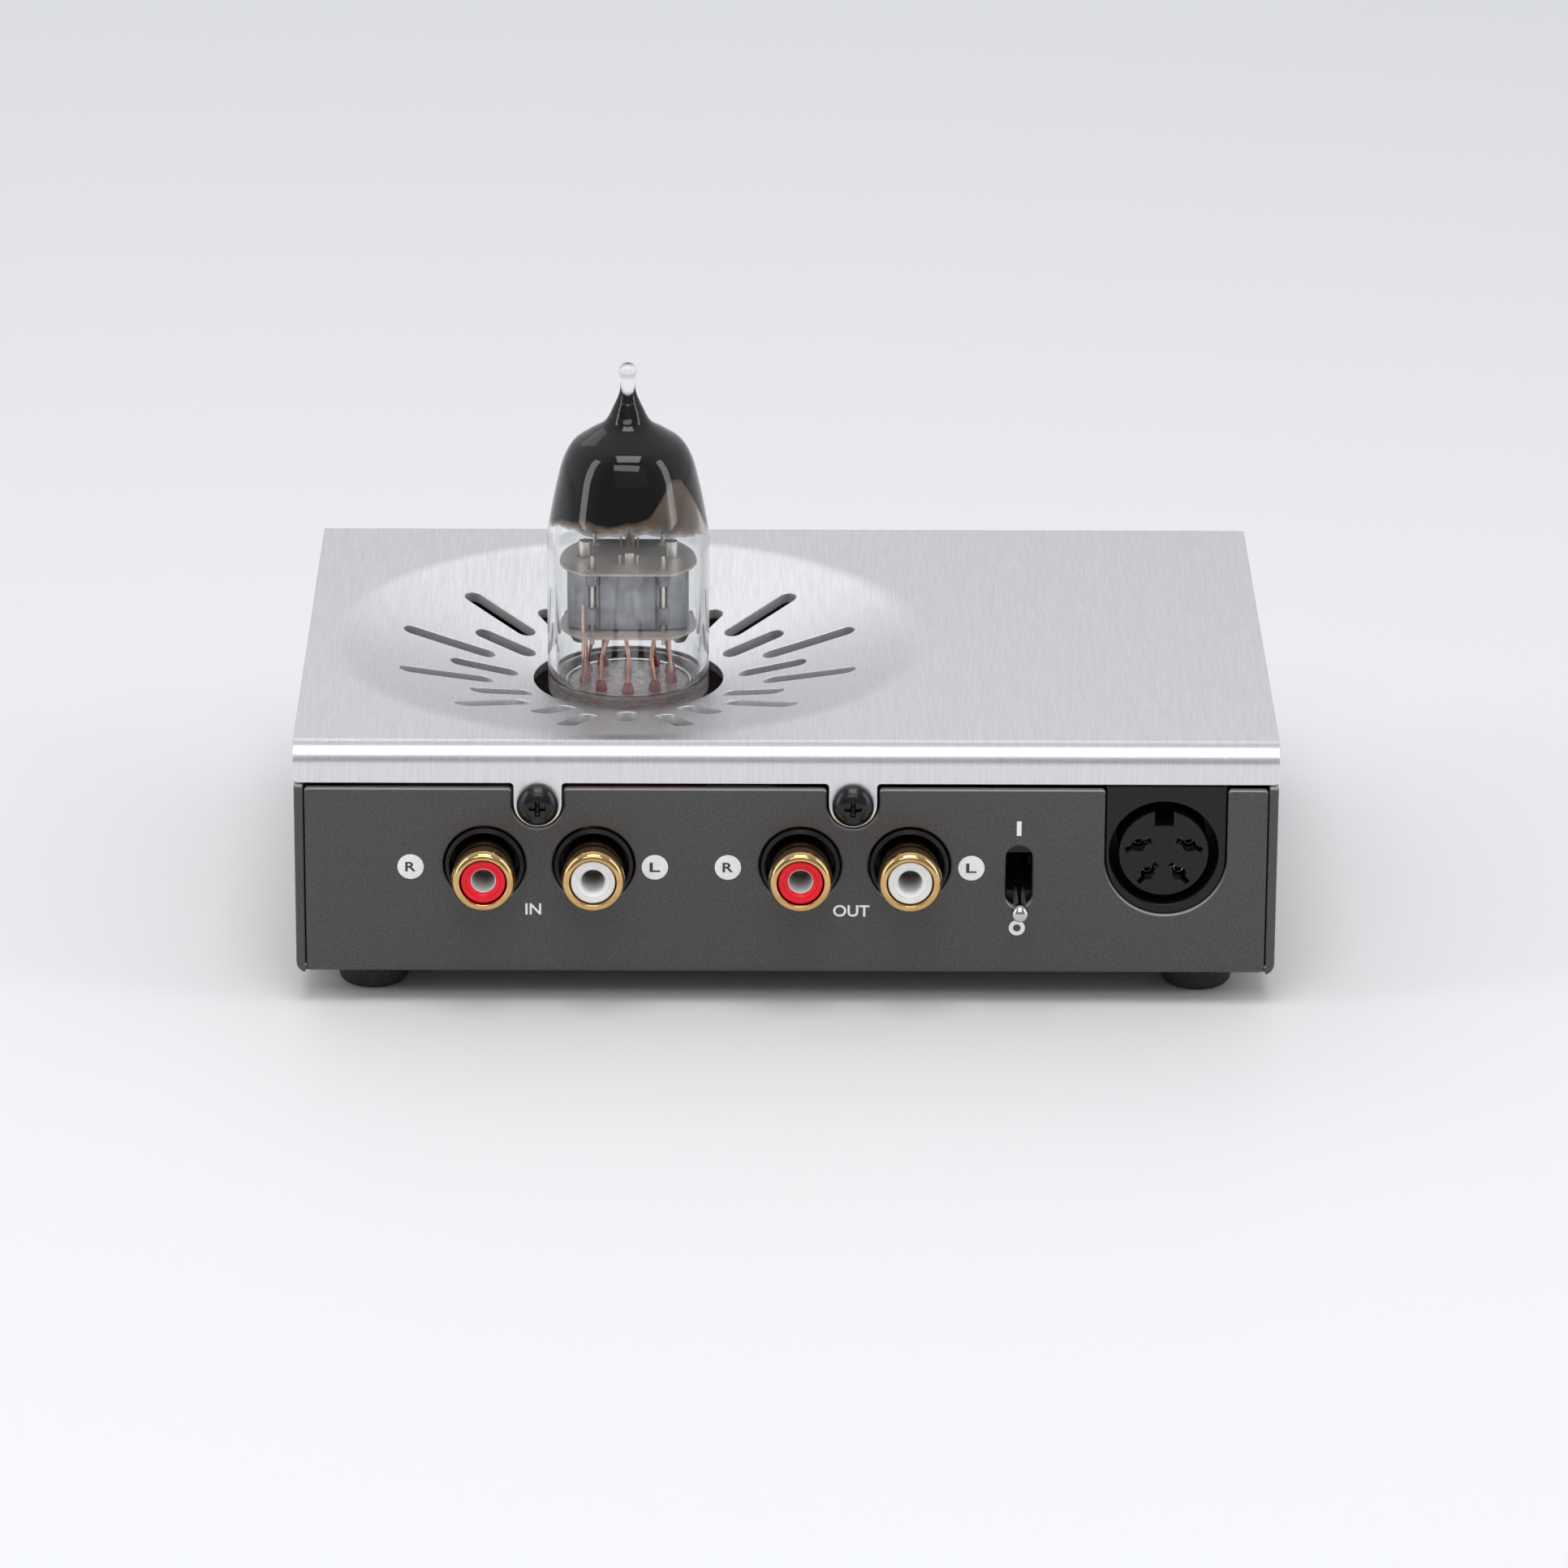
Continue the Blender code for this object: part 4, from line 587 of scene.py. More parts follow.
# %% Make the brushed aluminium
brushed = finish("brushed_aluminium", (0.80, 0.80, 0.81), 0.34, 1.0, Anisotropic=0.55)
scratches = grain(brushed, 0.00013, (1.0, 42.0, 42.0), 3.0)
two_tone(brushed, scratches, (0.71, 0.715, 0.725), (0.82, 0.82, 0.83), 0.3, 0.7)
spread(brushed, grain(brushed, 0.00030, (1.0, 18.0, 18.0), 2.0), 0.34, 0.44, "Roughness")
relief(brushed, scratches, 0.000005, 0.3)
brushed_along(brushed, "UV_MAP", uv_map="pattern")
punched = brushed.node_tree.nodes.new("ShaderNodeAttribute")
punched.attribute_name = "cut"
spread(brushed, punched.outputs["Fac"], 1.0, 0.6, "Metallic", 0.0, 1.0)
print("brushed aluminium: scratches 0.13 mm wide, drawn out 42 times")

# %% [markdown]
# ## The cover
# The cover is one sheet of 1.5 mm aluminium. Its flat pattern is nearly a rectangle, with two
# round-ended tongues at the rear for the screws. Twenty-four slots, long and short in turn, stand
# round the tube's hole like a clock's hours. The sheet is then pressed into a dish round the hole
# and bent down behind for the lip, and down in front for the control panel and its flange.

# %% The cover's sizes
SHEET = 1.5
BEND = 2.7
BACK_BEND_Y = PANEL_Y + BEND
FRONT_BEND_Y = FRONT_Y - BEND
ARC_LENGTH = BEND * math.pi / 2
LIP_BOTTOM = 30.6
TONGUES = (-32.0, 8.6)
TONGUE_HALF, TONGUE_Z, FILLET, LIP_CORNER = 3.1, 27.75, 0.5, 0.7
DISH_RADIUS, DISH_BLEND, DISH_DEPTH, DISH_POWER = 38.5, 1.5, 8.0, 1.2
TUBE_HOLE = 12.6
CONTROL_Z, PHONES_X, VOLUME_X, LAMP_X, GAIN_X = 19.6, 45.0, -42.0, 3.0, 20.0
FLANGE_BOTTOM, FLANGE_HALF, FLANGE_DEPTH = 5.75, 61.9, 11.0
COVER_EDGE, SLOT_WIDTH, SLOT_COUNT = 0.12, 2.6, 24
INNER_SLOT, OUTER_SLOT = (14.7, 23.7), (18.6, 31.2)
print("one bend takes", round(ARC_LENGTH, 2), "mm of the pattern")


# %% Press the dish and bend the lip and the front
def dish(radius):
    """Depth of the dish and its slope: 8 (1 - (r / 38.5) ^ 1.2), with a parabola over the last 3 mm."""
    inner, outer = DISH_RADIUS - DISH_BLEND, DISH_RADIUS + DISH_BLEND
    share = np.maximum(radius, 1e-6) / DISH_RADIUS
    depth = DISH_DEPTH * (1 - share**DISH_POWER)
    slope = -DISH_DEPTH * DISH_POWER / DISH_RADIUS * share ** (DISH_POWER - 1)
    at_inner = DISH_DEPTH * (1 - (inner / DISH_RADIUS) ** DISH_POWER)
    left = np.clip((outer - radius) / (outer - inner), 0, None)
    depth = np.where(radius > inner, at_inner * left**2, depth)
    slope = np.where(radius > inner, -2 * at_inner * left / (outer - inner), slope)
    return depth, slope


def cover_bend(pattern):
    """Where a point of the cover's pattern lies: pressed down by the dish, or carried round a bend."""
    x, v = pattern.T
    from_tube = np.stack((x - TUBE_X, v - TUBE_Y), 1)
    radius = np.linalg.norm(from_tube, axis=1)
    depth, slope = dish(radius)
    lean = slope / np.maximum(radius, 1e-6)
    y, z = v.copy(), COVER_TOP - depth
    normal = np.stack((lean * from_tube[:, 0], lean * from_tube[:, 1], np.ones(len(x))), 1)
    front_drop = COVER_TOP - FLANGE_BOTTOM - 2 * BEND
    for way, start, straights in ((-1, BACK_BEND_Y, (20.0,)), (1, FRONT_BEND_Y, (front_drop, 20.0))):
        bent = (v - start) * way > 0
        ahead, down, heading = along_bends((v[bent] - start) * way, BEND, straights)
        y[bent] = start + way * ahead
        z[bent] = COVER_TOP - down
        normal[bent] = np.stack((0 * ahead, way * np.sin(heading), np.cos(heading)), 1)
    normal /= np.linalg.norm(normal, axis=1, keepdims=True)
    return np.stack((x, y, z), 1), normal


def rear_v(z):
    """The pattern's coordinate of a height on the lip."""
    return BACK_BEND_Y - ARC_LENGTH - (COVER_TOP - BEND - z)


def front_v(z):
    """The pattern's coordinate of a height on the control front."""
    return FRONT_BEND_Y + ARC_LENGTH + (COVER_TOP - BEND - z)


print("the dish is", round(float(dish(np.array([TUBE_HOLE]))[0][0]), 2), "mm deep at the tube's hole")


# %% Draw the cover's flat pattern
def cover_outline():
    """The outer loop: the lip with its two tongues, then the sides and the narrower flange."""
    lip = [arc((-HALF_WIDTH + LIP_CORNER, LIP_BOTTOM + LIP_CORNER), LIP_CORNER, 180, 270, 5)]
    for x in TONGUES:
        lip.append(arc((x - TONGUE_HALF - FILLET, LIP_BOTTOM - FILLET), FILLET, 90, 0, 5))
        lip.append(arc((x, TONGUE_Z), TONGUE_HALF, 180, 360, 30))
        lip.append(arc((x + TONGUE_HALF + FILLET, LIP_BOTTOM - FILLET), FILLET, 180, 90, 5))
    lip.append(arc((HALF_WIDTH - LIP_CORNER, LIP_BOTTOM + LIP_CORNER), LIP_CORNER, 270, 360, 5))
    lip = np.concatenate(lip)
    lip[:, 1] = rear_v(lip[:, 1])
    step = front_v(FLANGE_BOTTOM + BEND)
    end = step + ARC_LENGTH + FLANGE_DEPTH - BEND
    sides = [(HALF_WIDTH, step), (FLANGE_HALF, step), (FLANGE_HALF, end)]
    return np.concatenate((lip, sides, [(-x, v) for x, v in sides[::-1]]))


def round_hole(x, v, radius, steps=48):
    """A round hole, drawn clockwise because the sheet is outside it."""
    return arc((x, v), radius, 0, -360, steps)[:-1]


def toggle_hole(x, v, half_width=1.75, half_height=4.3):
    """A lever's slot with round ends, clockwise."""
    across = half_height - half_width
    ends = (arc((x, v + across), half_width, 180, 0, 12), arc((x, v - across), half_width, 0, -180, 12))
    return np.concatenate(ends)


cover_loops = [stepped(cover_outline(), 0.5), round_hole(TUBE_X, TUBE_Y, TUBE_HOLE, 160)]
for k in range(SLOT_COUNT):
    near, far = INNER_SLOT if k % 2 == 0 else OUTER_SLOT
    slot = slot_loop(near, far, SLOT_WIDTH, 360.0 / SLOT_COUNT * k)[::-1]
    cover_loops.append(stepped(slot + (TUBE_X, TUBE_Y), 0.6))
cover_loops += [
    round_hole(PHONES_X, front_v(CONTROL_Z), 4.95),
    round_hole(VOLUME_X, front_v(CONTROL_Z), 3.65),
    round_hole(LAMP_X, front_v(CONTROL_Z), 1.8, 32),
    toggle_hole(GAIN_X, front_v(CONTROL_Z)),
]
print("loops in the pattern:", len(cover_loops), "flat size", np.ptp(cover_loops[0], axis=0).round(1), "mm")


# %% Scatter points where the sheet curves, then make the cover
def rings(radii, spacing):
    """Points on circles round the tube, each circle cut into equal steps of about a spacing."""
    count = np.ceil(2 * np.pi * radii / spacing).astype(int)
    radius = np.repeat(radii, count)
    share = (np.arange(count.sum()) - np.repeat(np.cumsum(count) - count, count)) / np.repeat(count, count)
    angle = 2 * np.pi * share
    return np.stack((TUBE_X + radius * np.cos(angle), TUBE_Y + radius * np.sin(angle)), 1)


def strip(start, stop, across, steps, columns):
    """A grid of points over a bend, between two pattern coordinates."""
    u, v = np.meshgrid(np.linspace(-across, across, columns), np.linspace(start, stop, steps))
    return np.stack((u.ravel(), v.ravel()), 1)


bend_back = strip(BACK_BEND_Y, BACK_BEND_Y - ARC_LENGTH, HALF_WIDTH - 0.5, 13, 90)
bend_front = strip(FRONT_BEND_Y, FRONT_BEND_Y + ARC_LENGTH, HALF_WIDTH - 0.5, 13, 90)
step_v = front_v(FLANGE_BOTTOM + BEND)
bend_flange = strip(step_v, step_v + ARC_LENGTH, FLANGE_HALF - 0.5, 9, 60)
dish_radii = np.concatenate((np.arange(13.3, 36.3, 0.9), np.arange(36.8, 40.3, 0.4)))
seeds = np.concatenate((rings(dish_radii, 0.95), bend_back, bend_front, bend_flange))
seeds = seeds[np.abs(seeds[:, 0]) < HALF_WIDTH - 0.3]
cover_look = (brushed, "amplifier", "brushed_aluminium", ["top_cover"])
bent_sheet("cover", cover_loops, seeds, cover_bend, SHEET, COVER_EDGE, *cover_look)

# %% [markdown]
# ## Powder coat
# The tray is steel with a baked powder coat. The powder melts into a skin with a fine, even
# orange-peel of about a quarter of a millimetre, and tiny flecks catch the light. Two noises do
# this: a round one for the relief and a finer one for the tone. A light line, a highlight from the
# lamps, follows the panel's top and its notches. The finish paints that highlight in, with a paler
# colour where the sheet's rounded edges look up.

# %% Make the powder coat
powder = finish("powder_coat", (0.070, 0.066, 0.066), 0.45, 0.0)
peel = grain(powder, 0.00026, detail=1.5)
dark_skin, pale_fleck = (0.043, 0.041, 0.041), (0.092, 0.088, 0.088)
two_tone(powder, grain(powder, 0.00018, detail=1.0), dark_skin, pale_fleck, 0.35, 0.68)
relief(powder, peel, 0.00005, 0.6)
spread(powder, peel, 0.36, 0.52, "Roughness")


def paint_edge_highlight(made, colour):
    """Paint a highlight: blend to a paler colour where a sheet's rounded edge looks up, from the normal's
    Z.
    """
    nodes, links = made.node_tree.nodes, made.node_tree.links
    edge = nodes.new("ShaderNodeAttribute")
    edge.attribute_name = "cut"
    geometry = nodes.new("ShaderNodeNewGeometry")
    split_normal = nodes.new("ShaderNodeSeparateXYZ")
    links.new(geometry.outputs["Normal"], split_normal.inputs["Vector"])
    both = nodes.new("ShaderNodeMath")
    both.operation = "MULTIPLY"
    links.new(share_between(made, edge.outputs["Fac"], 0.0, 0.22), both.inputs[0])
    links.new(share_between(made, split_normal.outputs["Z"], 0.1, 0.6), both.inputs[1])
    blend = nodes.new("ShaderNodeMix")
    blend.data_type = "RGBA"
    base = nodes["Principled BSDF"].inputs["Base Color"]
    links.new(both.outputs[0], blend.inputs[0])
    links.new(base.links[0].from_socket, blend.inputs[6])
    blend.inputs[7].default_value = (*colour, 1.0)
    links.new(blend.outputs[2], base)


# Painted highlight: a paler colour where the tray's rounded edges look up.
paint_edge_highlight(powder, (0.34, 0.34, 0.36))
print("powder coat: orange-peel of 0.26 mm")

# %% [markdown]
# ## The tray
# The tray's pattern is a cross: a floor, a side to the left and to the right, and the jack panel
# behind. The panel's outline carries the two notches for the cover's tongues and the deep round
# notch for the power inlet. The jacks and the switch have holes of their own. Small reliefs at
# the rear corners keep the panel and the sides apart where they are bent.

# %% The tray's sizes
TRAY_SHEET, TRAY_BEND, TRAY_EDGE = 1.2, 1.5, 0.26
TRAY_BOTTOM = TRAY_LOW[2]
TRAY_ARC = TRAY_BEND * math.pi / 2
SIDE_BEND_X = TRAY_HIGH[0] - TRAY_BEND
REAR_BEND_Y = PANEL_Y + TRAY_BEND
TRAY_FRONT = TRAY_HIGH[1]
PANEL_TOP, NOTCH_HALF = 29.85, 3.4
PANEL_HALF = TRAY_HIGH[0] - TRAY_SHEET - 0.125
SIDE_REAR = PANEL_HALF + 0.25
UNDER_LIP_Z = 30.3
CORNER_RELIEF, SIDE_SETBACK, SIDE_CORNER = 1.0, 1.8, 1.0
JACKS = {"input_right": -38.9, "input_left": -24.8, "output_right": 1.85, "output_left": 15.95}
JACK_Z, JACK_HOLE, POWER_X, POWER_Z = 19.3, 5.35, 30.1, 17.85
INLET_X, INLET_Z, INLET_CUT_X, INLET_CUT_Z, INLET_CUT_HALF = 48.75, 21.1, 49.0, 20.55, 7.9


def tray_bend(pattern):
    """Where a point of the tray's pattern lies: on the floor, or carried round a side or rear bend."""
    u, v = pattern.T
    on_panel = (v < REAR_BEND_Y) & (np.abs(u) < PANEL_HALF + 0.1)
    side = np.where(on_panel, 0.0, np.abs(u) - SIDE_BEND_X)
    rear = np.where(on_panel, REAR_BEND_Y - v, 0.0)
    side_ahead, side_up, side_heading = along_bends(side, TRAY_BEND, (60.0,))
    rear_ahead, rear_up, rear_heading = along_bends(rear, TRAY_BEND, (60.0,))
    x = np.where(side > 0, np.sign(u) * (SIDE_BEND_X + side_ahead), u)
    y = np.where(on_panel, REAR_BEND_Y - rear_ahead, v)
    z = TRAY_BOTTOM + side_up + rear_up
    out_x = np.sign(u) * np.sin(side_heading)
    out_z = -np.cos(side_heading) * np.cos(rear_heading)
    return np.stack((x, y, z), 1), np.stack((out_x, -np.sin(rear_heading), out_z), 1)


def panel_v(z):
    """The pattern's coordinate of a height on the jack panel."""
    return REAR_BEND_Y - TRAY_ARC - (z - TRAY_BOTTOM - TRAY_BEND)


def side_u(z):
    """The pattern's coordinate of a height on a side."""
    return SIDE_BEND_X + TRAY_ARC + (z - TRAY_BOTTOM - TRAY_BEND)


print("panel", round(PANEL_TOP - TRAY_BOTTOM, 1), "mm high and", round(2 * PANEL_HALF, 1), "mm wide")


# %% Draw the tray's flat pattern
def panel_top():
    """The panel's top edge from left to right, with its notches, as (X, Z) points."""
    lip = FILLET
    edge = [arc((-PANEL_HALF + lip, PANEL_TOP - lip), lip, 180, 90, 5)]
    for x in TONGUES:
        edge.append(arc((x - NOTCH_HALF - lip, PANEL_TOP - lip), lip, 90, 0, 5))
        edge.append(arc((x, TONGUE_Z), NOTCH_HALF, 180, 360, 30))
        edge.append(arc((x + NOTCH_HALF + lip, PANEL_TOP - lip), lip, 180, 90, 5))
    left, right = INLET_CUT_X - INLET_CUT_HALF, INLET_CUT_X + INLET_CUT_HALF
    edge.append(arc((left - lip, PANEL_TOP - lip), lip, 90, 0, 5))
    edge.append(arc((INLET_CUT_X, INLET_CUT_Z), INLET_CUT_HALF, 180, 360, 60))
    edge.append(arc((right + lip, PANEL_TOP - lip), lip, 180, 90, 5))
    edge.append(arc((PANEL_HALF - lip, PANEL_TOP - lip), lip, 90, 0, 5))
    return np.concatenate(edge)


def tray_outline():
    """The cross-shaped outer loop, anticlockwise from the panel's left top corner."""
    panel = panel_top()
    panel[:, 1] = panel_v(panel[:, 1])
    step, top = side_u(UNDER_LIP_Z), side_u(TRAY_HIGH[2])
    relief_v, setback_v = PANEL_Y + CORNER_RELIEF, PANEL_Y + SIDE_SETBACK
    round_u, corner = top - SIDE_CORNER, SIDE_CORNER
    right = [(PANEL_HALF, relief_v), (SIDE_REAR, relief_v), (SIDE_REAR, PANEL_Y)]
    right += [(step, PANEL_Y), (step, setback_v), (round_u, setback_v)]
    right += [*arc((round_u, setback_v + corner), corner, -90, 0, 4)[1:]]
    right += [*arc((round_u, TRAY_FRONT - corner), corner, 0, 90, 4), (SIDE_BEND_X, TRAY_FRONT)]
    left = [(-u, v) for u, v in right[::-1]]
    return np.concatenate((panel, right, left))


tray_loops = [stepped(tray_outline(), 0.5)]
tray_loops += [round_hole(x, panel_v(JACK_Z), JACK_HOLE, 72) for x in JACKS.values()]
tray_loops.append(toggle_hole(POWER_X, panel_v(POWER_Z)))
print("flat tray:", np.ptp(tray_loops[0], axis=0).round(1), "mm")
rear_strip = strip(REAR_BEND_Y, REAR_BEND_Y - TRAY_ARC, PANEL_HALF - 0.5, 9, 90)
v_line = np.linspace(PANEL_Y + 0.8, TRAY_FRONT - 0.8, 70)
u_line = np.linspace(SIDE_BEND_X, SIDE_BEND_X + TRAY_ARC, 9)
u_grid, v_grid = (g.ravel() for g in np.meshgrid(u_line, v_line))
seeds = np.concatenate((rear_strip, np.stack((u_grid, v_grid), 1), np.stack((-u_grid, v_grid), 1)))
tray_look = (powder, "amplifier", "powder_coat", ["chassis_tray"])
bent_sheet("tray", tray_loops, seeds, tray_bend, TRAY_SHEET, TRAY_EDGE, *tray_look)

# %% [markdown]
# ## The phono jacks
# A phono jack is a plated shell round a coloured plastic ring, in a black moulded body whose boss
# fills the panel's hole. The ring's bore is lined with the metal contact that grips the plug's
# pin. The bores look darker with depth, and the contact's colour paints that shade in: it is
# darker towards the bottom of the bore. All of it is turned from profiles of radius, height and
# rounding. The shell ends in a rounded bead with a shallow neck behind it, which gives the two
# bright bands.

# %% Finishes of the jacks
gold = finish("gold_plate", (0.66, 0.43, 0.19), 0.10, 1.0)
spread(gold, grain(gold, 0.0008, detail=3.0), 0.06, 0.13, "Roughness")
two_tone(gold, grain(gold, 0.002, detail=2.0), (0.62, 0.39, 0.16), (0.70, 0.47, 0.22))
black_plastic = finish("black_plastic", (0.012, 0.012, 0.013), 0.36, Specular_IOR_Level=0.35)
mould = grain(black_plastic, 0.00018, detail=1.0)
two_tone(black_plastic, mould, (0.008, 0.008, 0.009), (0.017, 0.017, 0.019))
relief(black_plastic, mould, 0.000012, 0.3)
red_plastic = finish("red_insulator", (0.84, 0.006, 0.022), 0.34, Specular_IOR_Level=0.35)
two_tone(red_plastic, grain(red_plastic, 0.0012), (0.80, 0.004, 0.018), (0.88, 0.008, 0.026))
white_plastic = finish("white_insulator", (0.86, 0.86, 0.84), 0.30, Coat_Weight=0.25)
two_tone(white_plastic, grain(white_plastic, 0.0012), (0.83, 0.83, 0.80), (0.89, 0.89, 0.87))
plated = finish("plated_steel", (0.74, 0.74, 0.73), 0.24, 1.0)
spread(plated, grain(plated, 0.0004, detail=3.0), 0.20, 0.26, "Roughness")
two_tone(plated, grain(plated, 0.0015), (0.71, 0.71, 0.70), (0.77, 0.77, 0.76))
silver = finish("contact_silver", (0.86, 0.85, 0.84), 0.42, 0.25)
spread(silver, grain(silver, 0.0004, detail=3.0), 0.36, 0.50, "Roughness")
# Painted shade: the contact's colour darkens the deeper it lies in the bore.
bore_depth_shade = out_of_the_panel(silver, PANEL_Y * MM, (PANEL_Y - 4.6) * MM)
two_tone(silver, bore_depth_shade, (0.40, 0.36, 0.34), (0.95, 0.94, 0.94), 0.0, 1.0)
print("jack finishes made")


# %% Turn the jacks
def block(left, right, low, high, near, far, rounding=0.5, steps=3):
    """A moulded block: a rounded rectangle in X and Z, carried from near to far in Y.

    Its ends are rounded too: at angle a the outline is r (1 - cos a) in, and r (1 - sin a) from the end.
    """
    corner = [(right - rounding, high - rounding), (left + rounding, high - rounding)]
    corner += [(left + rounding, low + rounding), (right - rounding, low + rounding)]
    starts = (0, 90, 180, 270)
    rows = []
    turn = np.linspace(0, np.pi / 2, steps + 1)
    near_end = [(rounding * (1 - math.cos(a)), near + rounding * (1 - math.sin(a))) for a in turn[::-1]]
    ends = near_end + [(d, far - (y - near)) for d, y in near_end[::-1]]
    for depth, y in ends:
        size = max(rounding - depth, 0.0)
        loop = np.concatenate([arc(c, size, a, a + 90, 5) for c, a in zip(corner, starts)])
        rows.append(np.stack((loop[:, 0], np.full(len(loop), y), loop[:, 1]), 1))
    middle = np.array([(left + right) / 2, 0.0, (low + high) / 2])
    caps = [np.tile(middle + (0.0, rows[k][0, 1], 0.0), (len(rows[0]), 1)) for k in (0, -1)]
    rows = [caps[0], *rows, caps[1]]
    return np.concatenate(rows), grid_faces(len(rows), len(rows[0]))


def jack_boss(x):
    """The round boss in the panel's hole, with a fine raised ring and the seat of the shell."""
    profile = [(4.43, -5.6, 0.05), (4.43, 0.10, 0.08), (4.62, 0.42, 0.1), (4.78, 0.42, 0.1)]
    profile += [(4.86, 0.12, 0.06), (5.05, 0.12, 0.12), (5.05, -5.6, 0.0)]
    return turned(softened(profile), (x, PANEL_Y, JACK_Z), "-Y", 80, closed=True)


for pair in ("input", "output"):
    places = [JACKS[f"{pair}_right"], JACKS[f"{pair}_left"]]
    moulding = block(places[0] - 6.4, places[1] + 6.4, 9.9, 25.2, PANEL_Y + 3.4, PANEL_Y + 13.5)
    shape = joined(moulding, *[jack_boss(x) for x in places])
    piece(f"{pair}_jacks", shape, black_plastic, "amplifier", "black_plastic", [f"{pair}_jack_body"])

barrel = [(3.15, -3.0, 0.0), (4.0, -3.0, 0.1), (4.0, 4.6, 0.3), (3.93, 4.8, 0.1)]
barrel += [(4.0, 4.95, 0.1), (4.13, 5.1, 0.0)]
bead_line = arc((0, 0), 1.0, 0, 90, 14) * (0.88, 1.15) + (3.25, 5.25)
mouth = [*arc((3.25, 6.2), 0.2, 90, 180, 4)[1:], (3.0, 5.6)]
shell_profile = np.concatenate((softened(barrel), bead_line, mouth))
ring_profile = [(0.0, -1.5, 0.0), (1.65, -1.5, 0.1), (1.65, 5.75, 0.2), (2.02, 6.0, 0.1)]
ring_profile += [(2.14, 6.02, 0.04), (2.2, 5.93, 0.04), (2.26, 6.02, 0.04), (2.85, 6.05, 0.12)]
ring_profile += [(2.95, -2.9, 0.1), (0.0, -2.9, 0.0)]
contact_profile = [(0.0, -1.4, 0.0), (1.64, -1.4, 0.0), (1.64, 5.5, 0.05), (1.54, 5.5, 0.05)]
contact_profile += [(1.46, -1.2, 0.6), (0.0, -1.2, 0.0)]
for jack, x in JACKS.items():
    seat = (x, PANEL_Y, JACK_Z)
    shell = turned(shell_profile, seat, "-Y", 96, closed=True)
    piece(f"{jack}_plated_shell", shell, gold, "amplifier", "gold_plate", [f"{jack}_shell"])
    red = jack.endswith("right")
    ring = turned(softened(ring_profile), seat, "-Y", 80)
    ring_finish, ring_slot = (red_plastic, "red_insulator") if red else (white_plastic, "white_insulator")
    piece(f"{jack}_ring", ring, ring_finish, "amplifier", ring_slot, [f"{jack}_insulator"])
    contact = turned(softened(contact_profile), seat, "-Y", 48)
    piece(f"{jack}_contact", contact, silver, "amplifier", "plated_steel")
print("four jacks turned")

# %% [markdown]
# ## Screws
# The screws are black pan heads with a cross recess. The head is a grid in radius and angle, and
# its height is the dome's less the recess, so the cross is real geometry and needs no Boolean.

# %% Make the screws
black_oxide = finish("black_screw", (0.006, 0.006, 0.007), 0.16, 0.0, Specular_IOR_Level=0.4)
spread(black_oxide, grain(black_oxide, 0.0006, detail=3.0), 0.14, 0.30, "Roughness")
two_tone(black_oxide, grain(black_oxide, 0.0005), (0.004, 0.004, 0.005), (0.009, 0.009, 0.010))


def screw(centre, axis, radius=2.53, height=1.9, shank=1.4, length=5.5, arm=1.15, width=0.34):
    """A pan head with a cross recess, over a plain shank.

    The dome is height (1 - 0.62 (r / R)^3.2). The recess is a cross whose arms fade out with a
    smooth step, and it is deepest on the axis, where the driver's point goes.
    """
    r = radius * np.linspace(0, 1, 42)[:, None]
    angle = 2 * np.pi * np.arange(96) / 96
    x, y = r * np.cos(angle), r * np.sin(angle)
    dome = height * (1 - 0.62 * (r / radius) ** 3.2)
    across = np.minimum(np.abs(x), np.abs(y))
    along = np.maximum(np.abs(x), np.abs(y))
    wall = np.clip((width - across) / 0.16, 0, 1) * np.clip((arm - along) / 0.22, 0, 1)
    wall = wall * wall * (3 - 2 * wall)
    z = dome - wall * (1.0 - 0.45 * along)
    top = np.stack((x, y, z + 0 * x), -1)
    under = [(radius, 0.08), (radius - 0.1, 0.0), (shank, 0.0), (shank, 0.5 - length)]
    under = np.array([*under, (0.5 * shank, -length), (0.0, -length)])
    skirt = np.stack((np.outer(under[:, 0], np.cos(angle)), np.outer(under[:, 0], np.sin(angle))), -1)
    skirt = np.concatenate((skirt, np.repeat(under[:, 1][:, None, None], 96, axis=1)), -1)
    grid = np.concatenate((top, skirt))
    return placed(grid.reshape(-1, 3), centre, axis), grid_faces(len(grid), 96)


for side, x in zip(("left", "right"), TONGUES):
    shape = screw((x, PANEL_Y - 0.05, TONGUE_Z), "-Y", radius=2.68)
    solid = f"cover_screw_{side}"
    piece(f"cover_fixing_{side}", shape, black_oxide, "amplifier", "black_screw", [solid], 60)
for side, x in (("left", -40.0), ("right", 40.0)):
    shape = screw((x, FRONT_Y - 7.0, TRAY_BOTTOM - 0.05), "-Z", length=3.6)
    solid = f"flange_screw_{side}"
    piece(f"flange_fixing_{side}", shape, black_oxide, "amplifier", "black_screw", [solid], 60)
print("four screws with cross recesses")

# %% [markdown]
# ## Switch levers
# Each toggle is a polished lever that leans down at rest. Its profile narrows from the pivot ball
# to a neck and ends in a round tip. It is turned along its own axis, tipped by thirteen degrees
# about the pivot, and rides on the lever's body, so it swings with the joint.

# %% Make the levers and the switch bodies
chrome = finish("chrome", (0.62, 0.60, 0.59), 0.10, 1.0)
spread(chrome, grain(chrome, 0.001, detail=3.0), 0.07, 0.15, "Roughness")
two_tone(chrome, grain(chrome, 0.003), (0.56, 0.54, 0.53), (0.66, 0.64, 0.63))


